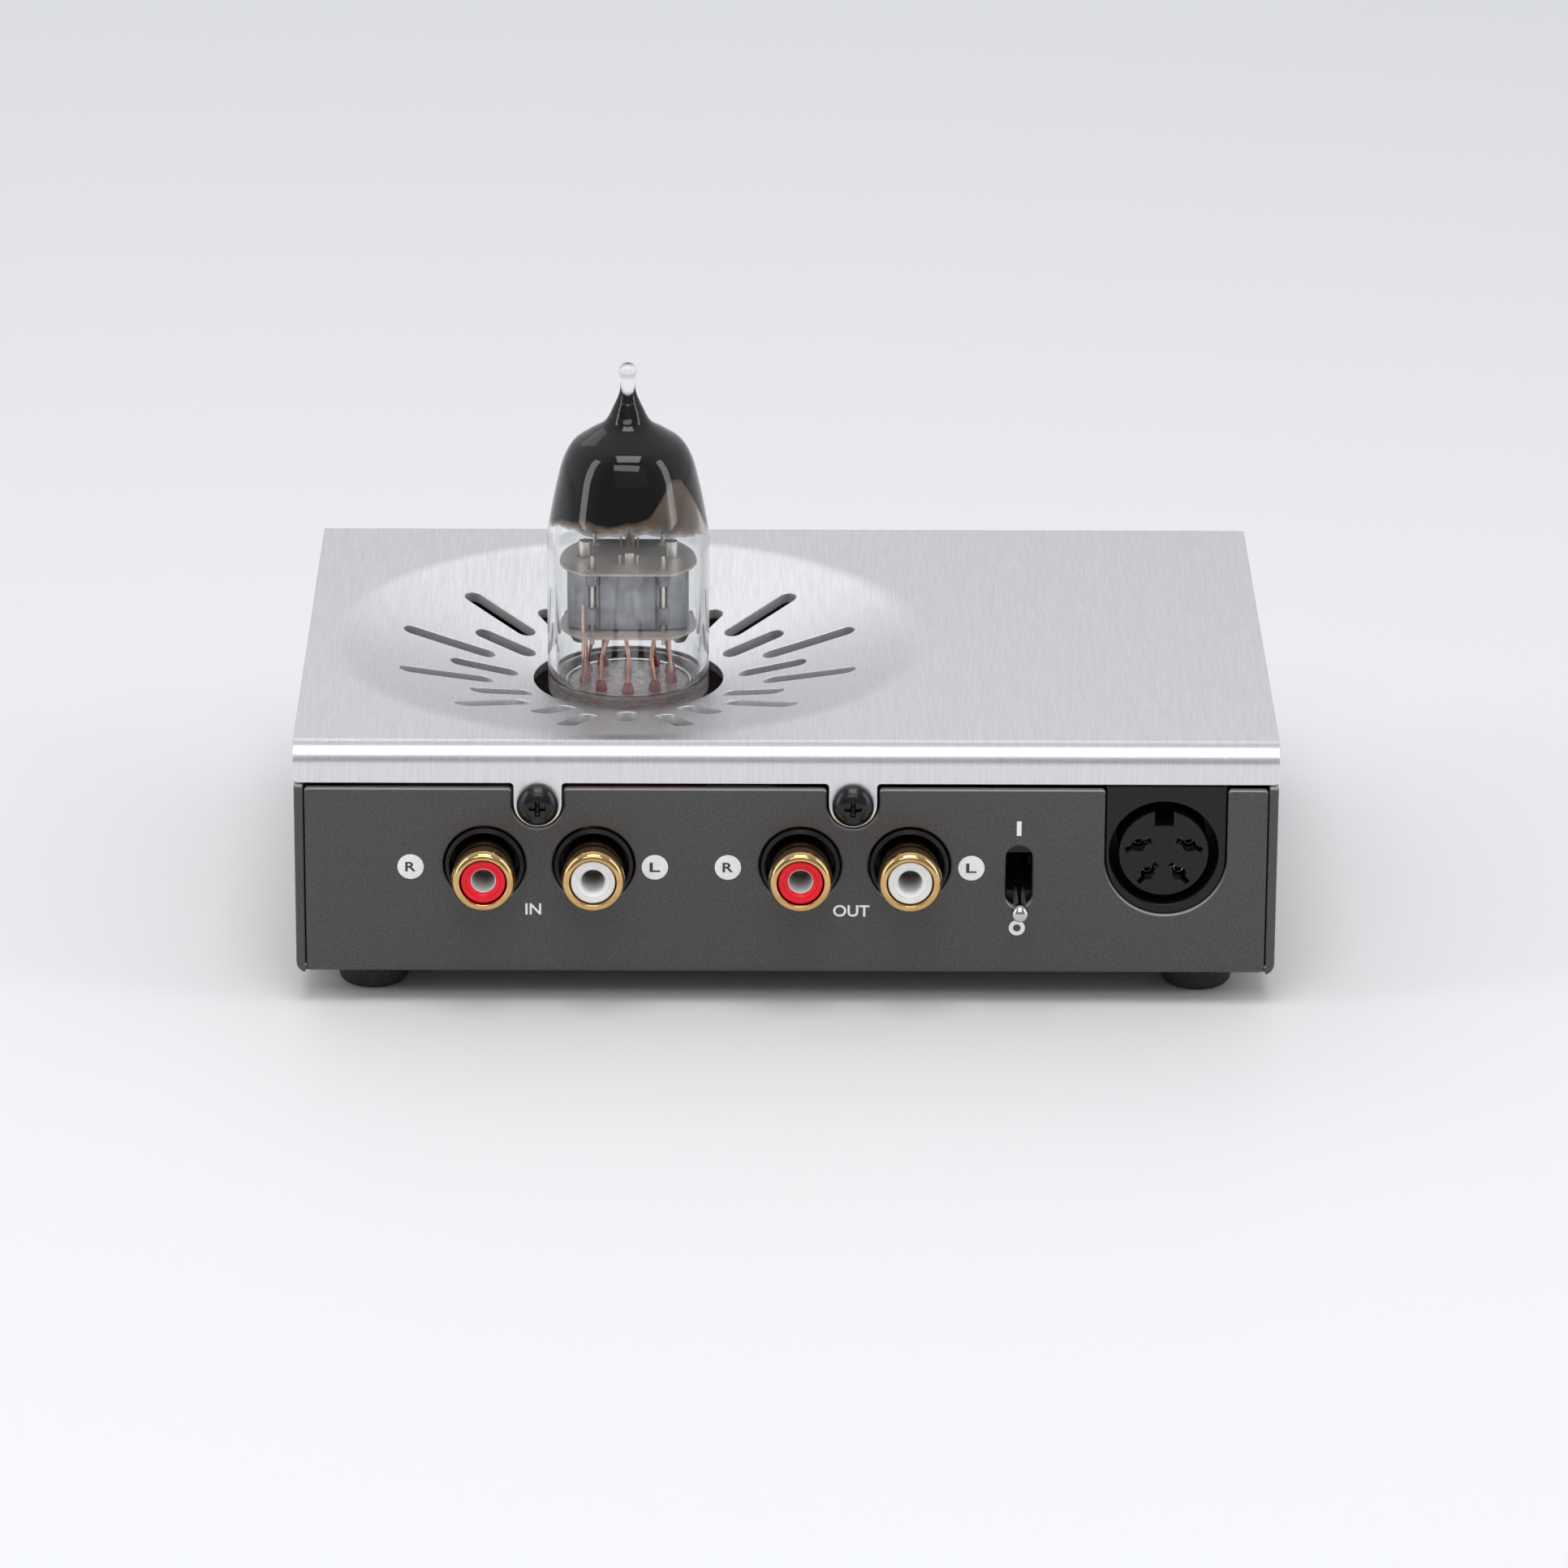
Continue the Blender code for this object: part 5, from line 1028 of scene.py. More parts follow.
def lever(x, wall_y, z, outwards):
    """A lever from its pivot ball to its tip, leaning down; outwards is -1 behind and 1 in front."""
    length, tip, pivot = 11.79, 1.2, 5.6
    ball = [(0.0, -1.3), (0.65, -1.12), (1.12, -0.65), (1.3, 0.0), (1.12, 0.65), (0.86, 1.3)]
    neck = [(0.80, 3.0), (0.74, 5.6), (0.76, 8.0), (0.84, 10.6)]
    end = [(tip * math.cos(a), length + tip * math.sin(a)) for a in np.radians((-30, 0, 30, 60))]
    profile = smooth_through(ball + neck + end + [(0.0, length + tip)], 5)
    profile[0, 0] = profile[-1, 0] = 0.0
    points, faces = turned(profile, (0, 0, 0), "-Y" if outwards < 0 else "+Y", 48)
    lean = math.radians(-13.0) * outwards
    y = points[:, 1] * math.cos(lean) - points[:, 2] * math.sin(lean)
    up = points[:, 1] * math.sin(lean) + points[:, 2] * math.cos(lean)
    return np.stack((points[:, 0] + x, y + wall_y - outwards * pivot, up + z), 1), faces


power_lever = lever(POWER_X, PANEL_Y, POWER_Z, -1)
piece("power_toggle_stick", power_lever, chrome, "power_toggle_lever", "chrome", ["power_lever"], 60)
gain_lever = lever(GAIN_X, FRONT_Y, CONTROL_Z, 1)
piece("gain_toggle_stick", gain_lever, chrome, "gain_toggle_lever", "chrome", ["gain_lever"], 60)
print("lever reaches Y", round(float(power_lever[0][:, 1].min()), 2))

# %% [markdown]
# ## The power inlet
# The round inlet is black moulding: a housing that fills the panel's deep notch, a ring groove for
# the plug's shell, and a core with a key notch and four contacts. Each contact hole has a slit
# across it for the sprung metal inside. The faces are flat patterns again, only much thicker.

# %% Draw and make the inlet
def facing(wall_y):
    """A bend that does nothing: the pattern's (x, z) lies upright and faces away from the wall."""

    def lay(pattern):
        x, z = pattern.T
        return np.stack((x, np.full(len(x), wall_y), z), 1), np.tile((0.0, -1.0, 0.0), (len(x), 1))

    return lay


def keyhole(place, radius, slit_half, slit_reach, direction):
    """A round hole with a slit across it, drawn clockwise."""
    meet = math.degrees(math.asin(slit_half / radius))
    loop = [[(slit_reach, -slit_half), (slit_reach, slit_half)], arc((0, 0), radius, meet, 180 - meet, 14)]
    loop += [[(-slit_reach, slit_half), (-slit_reach, -slit_half)]]
    loop += [arc((0, 0), radius, 180 + meet, 360 - meet, 14)]
    turn = math.radians(direction)
    rotate = np.array([[math.cos(turn), math.sin(turn)], [-math.sin(turn), math.cos(turn)]])
    return (np.concatenate(loop) @ rotate + place)[::-1]


CONTACTS = ((18.0, 158.0), (162.0, 22.0), (234.0, 48.0), (306.0, 132.0))
CORE, GROOVE, KEY_HALF, KEY_LOW = 5.78, 7.05, 1.2, 3.75
INLET_FACE = PANEL_Y + 0.3
half = INLET_CUT_HALF - 0.12
left, right = INLET_CUT_X - half, INLET_CUT_X + half
housing = [*arc((INLET_CUT_X, INLET_CUT_Z), half, 180, 360, 60), (right, UNDER_LIP_Z), (left, UNDER_LIP_Z)]
key = [(INLET_X + KEY_HALF, INLET_Z + KEY_LOW), (INLET_X - KEY_HALF, INLET_Z + KEY_LOW)]
open_half = math.degrees(math.asin(KEY_HALF / CORE))
core = np.concatenate((arc((INLET_X, INLET_Z), CORE, 90 + open_half, 450 - open_half, 90), key))
contact_turn = np.radians([place for place, _ in CONTACTS])
spots = 3.45 * np.stack((np.cos(contact_turn), np.sin(contact_turn)), 1) + (INLET_X, INLET_Z)
core_loops = [stepped(core, 0.6)]
core_loops += [keyhole(spot, 0.85, 0.32, 1.75, lean) for spot, (_, lean) in zip(spots, CONTACTS)]
housing_loops = [stepped(housing, 0.6), round_hole(INLET_X, INLET_Z, GROOVE, 110)]
no_seeds = np.zeros((0, 2))
inlet_black = finish("inlet_black", (0.007, 0.007, 0.008), 0.32, Specular_IOR_Level=0.3)
two_tone(inlet_black, grain(inlet_black, 0.00022, detail=1.0), (0.005, 0.005, 0.006), (0.011, 0.011, 0.012))
relief(inlet_black, grain(inlet_black, 0.00016, detail=1.0), 0.000010, 0.3)
upright = facing(INLET_FACE)
inlet_look = (inlet_black, "amplifier", "black_plastic")
bent_sheet("inlet_housing", housing_loops, no_seeds, upright, 8.0, 0.25, *inlet_look, ["power_inlet"])
bent_sheet("inlet_core", core_loops, no_seeds, upright, 8.0, 0.14, *inlet_look)
back_block = block(left, right, 9.9, 32.4, INLET_FACE + 7.9, PANEL_Y + 14.0)
piece("inlet_back", back_block, *inlet_look)
clip = softened([(0.52, -7.6, 0.0), (0.70, -7.6, 0.0), (0.70, -2.3, 0.1), (0.52, -2.3, 0.1)])
clips = joined(*[turned(clip, (x, INLET_FACE, z), "-Y", 24, closed=True) for x, z in spots])
piece("inlet_contacts", clips, plated, "amplifier", "plated_steel")

# %% [markdown]
# ## Feet, and the controls on the front
# Four rubber feet lift the tray. On the control front are the headphone jack with its ring nut,
# the gain switch, a small lamp and the volume knob. All are turned, and the knob has a pointer
# groove in its face. The knob's face is a grid too, so its groove is a dip in the height.

# %% Make the feet
rubber = finish("foot_rubber", (0.022, 0.022, 0.023), 0.82)
pores = grain(rubber, 0.0003, detail=3.0)
two_tone(rubber, pores, (0.016, 0.016, 0.017), (0.034, 0.034, 0.035))
relief(rubber, pores, 0.00003, 0.4)
foot_top = box_mm("foot_rear_left")[1][2]
foot = [(0, 0, 0), (4.0, 0, 0.2), (4.45, 0.45, 0.3), (4.9, foot_top - 0.3, 0.3)]
foot = softened([*foot, (4.9, foot_top, 0.05), (0, foot_top, 0)])
for where in ("rear_left", "rear_right", "front_left", "front_right"):
    low, high = box_mm(f"foot_{where}")
    middle = (low + high) / 2
    shape = turned(foot, (middle[0], middle[1], 0.0), sides=64)
    piece(f"rubber_foot_{where}", shape, rubber, "amplifier", "foot_rubber", [f"foot_{where}"])
print("feet", round(foot_top, 2), "mm high")

# %% Make the headphone jack, the lamp and the volume knob
turned_metal = finish("turned_aluminium", (0.78, 0.78, 0.79), 0.30, 1.0, Anisotropic=0.6)
spread(turned_metal, grain(turned_metal, 0.00016, (1, 40, 1), 2.0), 0.28, 0.33, "Roughness")
two_tone(turned_metal, grain(turned_metal, 0.0004), (0.76, 0.76, 0.77), (0.80, 0.80, 0.81))
brushed_along(turned_metal, "RADIAL", axis="Y")

seat = (PHONES_X, FRONT_Y, CONTROL_Z)
jack_body = block(PHONES_X - 7.8, PHONES_X + 7.8, 9.9, 27.6, FRONT_Y - 30.0, FRONT_Y - 1.8)
bush = softened([(3.3, -1.9, 0.0), (4.6, -1.9, 0.0), (4.6, 2.6, 0.25), (3.75, 2.6, 0.2), (3.3, 2.1, 0.15)])
piece("headphone_jack_body", jack_body, black_plastic, "amplifier", "black_plastic", ["headphone_jack"])
piece("headphone_bush", turned(bush, seat, "+Y", 80, closed=True), plated, "amplifier", "plated_steel")
# Painted shade: a near-black disc closes the bush's bore and stands for the shade deep in the hole.
bore = softened([(0.0, -1.7, 0.0), (3.32, -1.7, 0.05), (3.32, -1.72, 0.0), (0.0, -1.72, 0.0)])
bore_end_shade = finish("painted_bore_shadow", (0.006, 0.006, 0.006), 0.7)
two_tone(bore_end_shade, grain(bore_end_shade, 0.001), (0.005, 0.005, 0.005), (0.009, 0.009, 0.009))
piece("headphone_bore_shadow", turned(bore, seat, "+Y", 48), bore_end_shade, "amplifier", "black_plastic")


def knurled_ring(inner, outer, low, high, teeth, depth):
    """A ring nut with teeth on its rim, whose radius is R - d (0.5 + 0.5 cos(n a))^2."""
    profile = softened([(inner, low, 0.1), (outer, low, 0.2), (outer, high, 0.35), (inner, high, 0.2)])
    sides = teeth * 8
    points, faces = turned(profile, (0, 0, 0), sides=sides, closed=True)
    angle = np.tile(2 * np.pi * np.arange(sides) / sides, len(profile))
    on_rim = np.repeat(profile[:, 0] > outer - 0.12, sides)
    shrink = np.where(on_rim, 1 - depth / outer * (0.5 + 0.5 * np.cos(teeth * angle)) ** 2, 1.0)
    points[:, :2] *= shrink[:, None]
    return points, faces


nut, nut_faces = knurled_ring(4.9, 6.7, 0.25, 2.1, 36, 0.28)
nut = (placed(nut, seat, "+Y"), nut_faces)
piece("headphone_ring_nut", nut, plated, "amplifier", "plated_steel", ["headphone_nut"])

lens_white = finish("lamp_lens", (0.86, 0.86, 0.84), 0.25, Transmission_Weight=0.35, Subsurface_Weight=0.2)
spread(lens_white, grain(lens_white, 0.0006), 0.2, 0.32, "Roughness")
seat = (LAMP_X, FRONT_Y, CONTROL_Z)
lens = [(0.0, -5.0, 0.0), (1.5, -5.0, 0.1), (1.5, -0.6, 0.3)]
lens = np.concatenate((softened([*lens, (1.5, -0.5, 0.0)])[:-1], arc((0.0, -0.6), 1.5, 0, 90, 10)))
lens[-1, 0] = 0.0
piece("lamp_dome", turned(lens, seat, "+Y", 48), lens_white, "amplifier", "lamp_lens", ["status_lamp"])


def volume_knob_shape():
    """A straight knob with a bevelled face; the pointer is a groove from the edge half way in.

    The face's height is h - d g(x) s(z): g is a smooth bump over the groove's width, s a step.
    """
    end, rim = 14.0, 9.5
    back = [(0.0, 10.8, 0), (3.3, 10.8, 0.1), (3.3, 4.0, 0.1), (6.4, 4.0, 0.2), (6.4, 1.0, 0.2)]
    side = softened([*back, (rim, 1.0, 0.3), (rim, 13.3, 0.3), (8.9, end, 0.3), (8.6, end, 0.0)])
    face = np.stack((np.linspace(8.6, 0.0, 60)[1:], np.full(59, end)), 1)
    points, faces = turned(np.concatenate((side, face)), (0, 0, 0), sides=160)
    x, y, z = points.T
    groove = np.clip((0.55 - np.abs(x)) / 0.18, 0, 1) * np.clip((y - 3.6) / 0.4, 0, 1)
    on_face = z > 13.0
    points[:, 2] = z - np.where(on_face, 0.45 * groove**2 * (3 - 2 * groove), 0.0)
    return points, faces


knob_points, knob_faces = volume_knob_shape()
seat = (VOLUME_X, FRONT_Y, CONTROL_Z)
knob = (placed(knob_points, seat, "+Y"), knob_faces)
piece("volume_dial", knob, turned_metal, "volume_knob_group", "brushed_aluminium", ["volume_knob"])
print("front controls made")

# %% [markdown]
# ## Inside the case
# The slots and the tube's hole show a little of the inside: the socket, the board and the
# capacitors. Their solids already have the right shape, so they only get finishes.

# %% Dress the solids inside
laminate = finish("board_laminate", (0.060, 0.016, 0.018), 0.42, Coat_Weight=0.4)
two_tone(laminate, grain(laminate, 0.0011, detail=4.0), (0.045, 0.012, 0.014), (0.085, 0.024, 0.026))
spread(laminate, grain(laminate, 0.0006, detail=2.0), 0.34, 0.5, "Roughness")
brass = finish("brass", (0.72, 0.56, 0.30), 0.28, 1.0)
spread(brass, grain(brass, 0.0005, detail=3.0), 0.2, 0.36, "Roughness")
two_tone(brass, grain(brass, 0.002), (0.64, 0.49, 0.26), (0.78, 0.62, 0.35))
sleeve = finish("can_sleeve", (0.020, 0.020, 0.030), 0.32, Coat_Weight=0.3)
two_tone(sleeve, grain(sleeve, 0.0015), (0.015, 0.015, 0.022), (0.032, 0.032, 0.045))
socket_brown = finish("socket_plastic", (0.13, 0.040, 0.034), 0.45)
two_tone(socket_brown, grain(socket_brown, 0.0008, detail=3.0), (0.10, 0.030, 0.026), (0.17, 0.055, 0.046))
relief(socket_brown, grain(socket_brown, 0.0002), 0.00001, 0.3)


def dress(made, *nodes):
    """Give solids that stay as they are a finish in their material slot."""
    for node in nodes:
        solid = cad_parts[node]
        if solid.material_slots:
            solid.material_slots[0].material = made
        else:
            solid.data.materials.append(made)


corners_of_board = [f"{row}_{side}" for row in ("rear", "front") for side in ("left", "right")]
dress(laminate, "main_board")
dress(brass, *[f"standoff_{place}" for place in corners_of_board])
dress(plated, "volume_nut", "volume_shaft", *[f"board_screw_{place}" for place in corners_of_board])
dress(sleeve, *[f"reservoir_capacitor_{n}" for n in (1, 2, 3, 4)])
dress(black_plastic, "power_switch", "gain_switch", "volume_control", "lamp_holder")
dress(socket_brown, "tube_socket")
print("solids inside dressed")

# %% [markdown]
# ## The tube's glass
# The envelope is blown from clear glass about a millimetre thick, with a dome and a drawn-out tip
# where it was sealed. Its foot is a thick glass button that the pins go through, fused to the wall.
# Glass needs both of its skins, so one profile runs up the outside, over the tip's axis, and down
# the inside to the button's top.

# %% Glass profile and finish
glass = finish("clear_glass", (0.985, 0.99, 0.99), 0.0, Transmission_Weight=1.0, IOR=1.5)
spread(glass, grain(glass, 0.004), 0.0, 0.02, "Roughness")
GLASS_LOW = box_mm("glass_envelope")[0][2]
TUBE_FOOT = (TUBE_X, TUBE_Y, GLASS_LOW)
dome = [(10.75, 17.0), (10.75, 19.5), (10.72, 22.0), (10.2, 25.5), (9.4, 29.4), (8.6, 32.4)]
dome += [(7.3, 34.7), (5.2, 36.2), (3.1, 37.6), (1.9, 39.8), (1.1, 41.8), (1.0, 43.6), (1.2, 44.6)]
dome += [(0.85, 45.5), (0.0, 45.8)]
foot_line = softened([(0, 0.15, 0), (9.0, 0.15, 0.5), (9.7, 0, 0.3), (10.75, 0.25, 0.8), (10.75, 10.0, 0)])
outside = np.concatenate((foot_line, smooth_through(dome)))
vault = [(0.0, 36.4), (2.2, 36.1), (4.2, 35.3), (6.3, 33.7), (7.6, 31.4), (8.35, 29.2)]
vault += [(9.2, 25.5), (9.72, 22.0), (9.75, 19.5), (9.75, 17.0)]
button = [(9.75, 10.0, 0), (9.75, 2.5, 1.0), (8.9, 2.5, 0.6), (8.1, 1.7, 0.5), (3.0, 1.6, 1.0)]
inside_line = np.concatenate((smooth_through(vault), softened([*button, (0, 2.1, 0)])))
outside[-1, 0] = inside_line[0, 0] = 0.0
shape = turned(np.concatenate((outside, inside_line)), TUBE_FOOT, sides=128)
piece("tube_glass", shape, glass, "tube", "clear_glass", ["glass_envelope", "tube_stem"], 60, hollow=True)
print("glass", round(float(outside[:, 1].max()), 1), "mm high")

# %% [markdown]
# Light that meets the smooth underside of thick glass is thrown back up, and the foot would shine
# like a mirror. The photograph shows a dull, rosy foot, so a dull skin is set into the underside.
# Whether the real underside is dull itself, or only has something dull below it, isn't known.

# %% Dull the underside of the button
dull = finish("pressed_underside", (0.78, 0.70, 0.69), 0.7)
two_tone(dull, grain(dull, 0.0009, detail=4.0), (0.60, 0.50, 0.49), (0.92, 0.88, 0.87))
spread(dull, grain(dull, 0.0005), 0.6, 0.8, "Roughness")
skin = [(0, 0.13), (8.1, 0.13), (8.1, 0.20), (0, 0.20)]
piece("button_underside", turned(skin, TUBE_FOOT, sides=128), dull, "tube", None)

# %% [markdown]
# ## The getter flash
# A little barium is flashed onto the dome when the tube is made, to soak up the last gas. It is a
# black mirror where it is thick and a brown haze where it thins out. The film is a skin on the
# glass's inside, and each of its points stores how thick the metal is there. The finish reads
# that number for its colour and for how much light comes through.

# %% Lay the film inside the dome
def film_edge(angle):
    """The film's lower edge in height above the glass foot: it is ragged, and dips at the back."""
    ragged = 0.22 * np.sin(5 * angle + 0.7) + 0.14 * np.sin(11 * angle) + 0.08 * np.sin(23 * angle + 2.0)
    return 21.9 - 3.7 * np.sin(angle) + 1.3 * np.clip(-np.cos(angle), 0, 1) ** 3 + ragged


def film_shape(sides=180, rows=60):
    """A skin that is set into the glass's inside, from the ragged edge up to the vault's top.

    The inside's profile is moved out and in by 0.03 mm along its normal (h', -r') for the skin's
    two sides. Film on glass has no air between, so one side lies in the glass, and that is why the
    black fills the tube to its outline. The metal thins out towards the lower edge, over a longer
    way at the back. At an angle t from its barest side it starts 6.5 exp(-(t / 0.42)^2) mm higher.
    """
    angle = 2 * np.pi * np.arange(sides) / sides
    upward = inside_line[::-1]
    upward = upward[upward[:, 1] > 15.0]
    along = np.gradient(upward, axis=0)
    off = np.stack((along[:, 1], -along[:, 0]), 1) / np.linalg.norm(along, axis=1, keepdims=True)
    off[-1] = (0.0, 1.0)
    low = film_edge(angle)[None, :]
    part = np.linspace(0, 1, rows)[:, None]
    skin = []
    for line in (upward + 0.03 * off, upward - 0.03 * off):
        height = low + (line[-1, 1] - low) * part**0.9
        radius = np.interp(height, line[:, 1], line[:, 0])
        radius[-1] = 0.0
        skin.append(np.stack((radius * np.cos(angle), radius * np.sin(angle), height), -1))
    from_barest = (angle + math.radians(38) + np.pi) % (2 * np.pi) - np.pi
    bare = np.exp(-((from_barest / 0.42) ** 2))[None, :]
    thick = np.clip((height - low) / (1.1 + 3.0 * np.clip(np.sin(angle), 0, 1)), 0, 1)
    wedge = np.clip((height - low - 6.5 * bare) / 1.6, 0, 1)
    metal = np.minimum(thick, wedge)
    points = np.concatenate((skin[0], skin[1][::-1])).reshape(-1, 3)
    values = np.concatenate((metal, metal[::-1])).ravel()
    return placed(points, TUBE_FOOT, "+Z"), grid_faces(2 * rows, sides, wrap_rows=True), values


flash = finish("getter_flash", (0.006, 0.006, 0.006), 0.2, 0.0, Specular_IOR_Level=0.0)
nodes, links = flash.node_tree.nodes, flash.node_tree.links
metal_here = nodes.new("ShaderNodeAttribute")
metal_here.attribute_name = "metal"
haze = nodes.new("ShaderNodeMath")
haze.operation = "ADD"
cloud = nodes.new("ShaderNodeMapRange")
cloud.inputs["From Min"].default_value = 0.25
cloud.inputs["From Max"].default_value = 0.75
cloud.inputs["To Min"].default_value = -0.10
cloud.inputs["To Max"].default_value = 0.10
links.new(grain(flash, 0.0012, detail=4.0), cloud.inputs["Value"])
links.new(metal_here.outputs["Fac"], haze.inputs[0])
links.new(cloud.outputs["Result"], haze.inputs[1])
two_tone(flash, haze.outputs[0], (0.40, 0.28, 0.20), (0.004, 0.004, 0.004), 0.12, 0.55)
spread(flash, haze.outputs[0], 0.30, 1.0, "Alpha", 0.02, 0.55)
film_points, film_faces, film_values = film_shape()
film = piece("getter_film", (film_points, film_faces), flash, "tube", None, sharp=80, merge=0.0)
layer = film.data.attributes.new("metal", "FLOAT", "POINT")
layer.data.foreach_set("value", film_values.astype(np.float32))
print("film points", len(film_values), "and mesh points", len(film.data.vertices))

# %% [markdown]
# ## The stem
# A glass button closes the tube, with nine pins through it. Inside, each pin goes on as a thin
# copper-coated lead, and a bead of reddish glass seals it where it leaves the button. A lead is
# a round section carried along a bent path.

# %% Carry a section along a path
def swept(path, section, across=(0.0, 1.0, 0.0), closed=False):
    """Points p + a u + b v: p on the path, (a, b) on the section, u and v square to the path.

    u is the cross product of the path's direction and a fixed vector, and v that of u with it.
    """
    path = np.asarray(path, float)
    ahead = np.roll(path, -1, axis=0) - np.roll(path, 1, axis=0)
    if not closed:
        ahead[0], ahead[-1] = path[1] - path[0], path[-1] - path[-2]
    ahead /= np.linalg.norm(ahead, axis=1, keepdims=True)
    u = np.cross(ahead, np.asarray(across, float))
    u /= np.linalg.norm(u, axis=1, keepdims=True)
    v = np.cross(u, ahead)
    section = np.asarray(section, float)
    rows = path[:, None] + section[None, :, :1] * u[:, None] + section[None, :, 1:] * v[:, None]
    if not closed:
        first = np.repeat(path[:1, None], len(section), axis=1)
        last = np.repeat(path[-1:, None], len(section), axis=1)
        rows = np.concatenate((first, rows, last))
    return rows.reshape(-1, 3), grid_faces(len(rows), len(section), wrap_rows=closed)


def in_tube(points):
    """Move points from the tube's own axis, with heights of the whole model, to their place."""
    return np.asarray(points, float) + (TUBE_X, TUBE_Y, 0.0)


def wire(points, radius):
    """A round wire along a smooth curve through points on the tube's own axis."""
    return swept(in_tube(smooth_through(points)), arc((0, 0), radius, 0, 360, 12)[:-1])


def stood(profile, spots, sides, closed=False):
    """One turned shape that stands at each (x, y) spot round the tube's own axis, all as one shape."""
    places = in_tube([(x, y, 0.0) for x, y in spots])
    return joined(*[turned(profile, place, sides=sides, closed=closed) for place in places])


pin_angles = np.radians(90 + 36 * np.arange(1, 10))
pin_spots = 5.945 * np.stack((np.cos(pin_angles), np.sin(pin_angles)), 1)
nickel = finish("drawn_nickel", (0.70, 0.68, 0.64), 0.26, 1.0)
spread(nickel, grain(nickel, 0.0003, (1, 1, 20), 2.0), 0.2, 0.36, "Roughness")
two_tone(nickel, grain(nickel, 0.0008), (0.62, 0.60, 0.56), (0.74, 0.72, 0.68))
pin_end = softened([(0, 21.0, 0), (0.51, 21.0, 0.4), (0.51, 28.1, 0), (0, 28.1, 0)])
piece("tube_pins", stood(pin_end, pin_spots, 20), nickel, "tube", "nickel")

copper = finish("copper_coat", (0.86, 0.50, 0.38), 0.34, 1.0)
two_tone(copper, grain(copper, 0.0012, detail=3.0), (0.76, 0.40, 0.29), (0.90, 0.60, 0.48))
spread(copper, grain(copper, 0.0004), 0.26, 0.45, "Roughness")
inward = np.array([0.93, 0.80, 0.99, 0.86, 0.82, 0.86, 0.93, 0.80, 0.93])
lean = np.array([0.2, -0.5, 0.0, 0.9, -0.6, 1.1, 0.3, -0.4, 0.2])
leads = []
for k, (x, y) in enumerate(pin_spots):
    goal = (inward[k] * x + 0.4 * lean[k], 0.86 * inward[k] * y)
    middle = (0.5 * (x + goal[0]) - 0.35 * lean[k], 0.5 * (y + goal[1]))
    leads.append(wire([(x, y, 29.3), (x, y, 31.2), (*middle, 34.2), (*goal, 36.6)], 0.27))
leads.append(wire([(-5.9, -2.2, 29.5), (-5.9, -3.2, 31.5), (-5.75, -5.45, 35.0), (-5.75, -5.5, 42.1)], 0.2))
piece("stem_leads", joined(*leads), copper, "tube", "nickel", sharp=60)

bead_red = finish("bead_glass", (0.55, 0.035, 0.07), 0.08, Transmission_Weight=0.45, IOR=1.52)
two_tone(bead_red, grain(bead_red, 0.0007), (0.40, 0.02, 0.05), (0.68, 0.07, 0.11))
bead = softened([(0.0, 29.75, 0), (0.85, 29.75, 0.2), (0.70, 30.8, 0.5), (0.30, 31.3, 0.2), (0.0, 31.3, 0)])
piece("stem_beads", stood(bead, pin_spots, 32), bead_red, "tube", "clear_glass", sharp=60)
print("stem:", len(leads), "leads")

# %% [markdown]
# ## The cage
# Two mica sheets hold the electrodes at their right distances. Each half of the tube has an anode
# pressed from grey sheet, with a fluted front whose channel takes a supporting rod. Between the
# halves is a folded screen. An upright sheet is a thin section carried along its outline.

# %% Make the mica sheets
mica = finish("mica", (0.86, 0.74, 0.67), 0.34, Transmission_Weight=0.16, IOR=1.55)
clouds = grain(mica, 0.0034, (1.0, 1.3, 1.0), 2.0)
two_tone(mica, clouds, (0.80, 0.68, 0.61), (0.92, 0.83, 0.77), 0.32, 0.66)
spread(mica, grain(mica, 0.0009, detail=2.0), 0.30, 0.40, "Roughness")
relief(mica, clouds, 0.00002, 0.2)


def flat_at(height):
    """A bend that lays the pattern level at a height, on the tube's own axis."""

    def lay(pattern):
        place = np.concatenate((pattern, np.full((len(pattern), 1), height)), axis=1)
        return in_tube(place), np.tile((0.0, 0.0, 1.0), (len(pattern), 1))

    return lay


def mica_loops():
    """A round sheet cut flat at front and back, with a hole for each rod, cathode and tab."""
    lean_out = math.degrees(math.asin(7.1 / 9.1))
    ends = [arc((0, 0), 9.1, middle - lean_out, middle + lean_out, 30) for middle in (0, 180)]
    holes = [(sx * 4.6, sy * 4.9, 0.62) for sx in (-1, 1) for sy in (-1, 1)]
    holes += [(-5.75, 0.0, 1.05), (5.75, 0.0, 1.05), (-1.3, -6.3, 0.26), (1.3, -6.3, 0.26)]
    edge = stepped(np.concatenate(ends), 0.5)
    return [edge] + [arc((x, y), r, 0, 360, 24)[:-1][::-1] for x, y, r in holes]


for solid in ("upper_mica", "lower_mica"):
    lay = flat_at(box_mm(solid)[1][2])
    bent_sheet(f"{solid}_sheet", mica_loops(), no_seeds, lay, 0.35, 0.06, mica, "tube", "mica", [solid])

# %% Press the anodes and the screen
grey = finish("anode_grey", (0.33, 0.34, 0.37), 0.44, 0.6)
two_tone(grey, grain(grey, 0.0016, detail=4.0), (0.28, 0.29, 0.315), (0.38, 0.39, 0.42))
spread(grey, grain(grey, 0.0006, (1, 1, 6), 3.0), 0.36, 0.54, "Roughness")
relief(grey, grain(grey, 0.00012), 0.000008, 0.4)
ANODE_LOW, ANODE_HIGH = box_mm("anode_screen")[0][2], box_mm("anode_screen")[1][2]
ANODE_SHEET, ROD_X = 0.3, 4.6


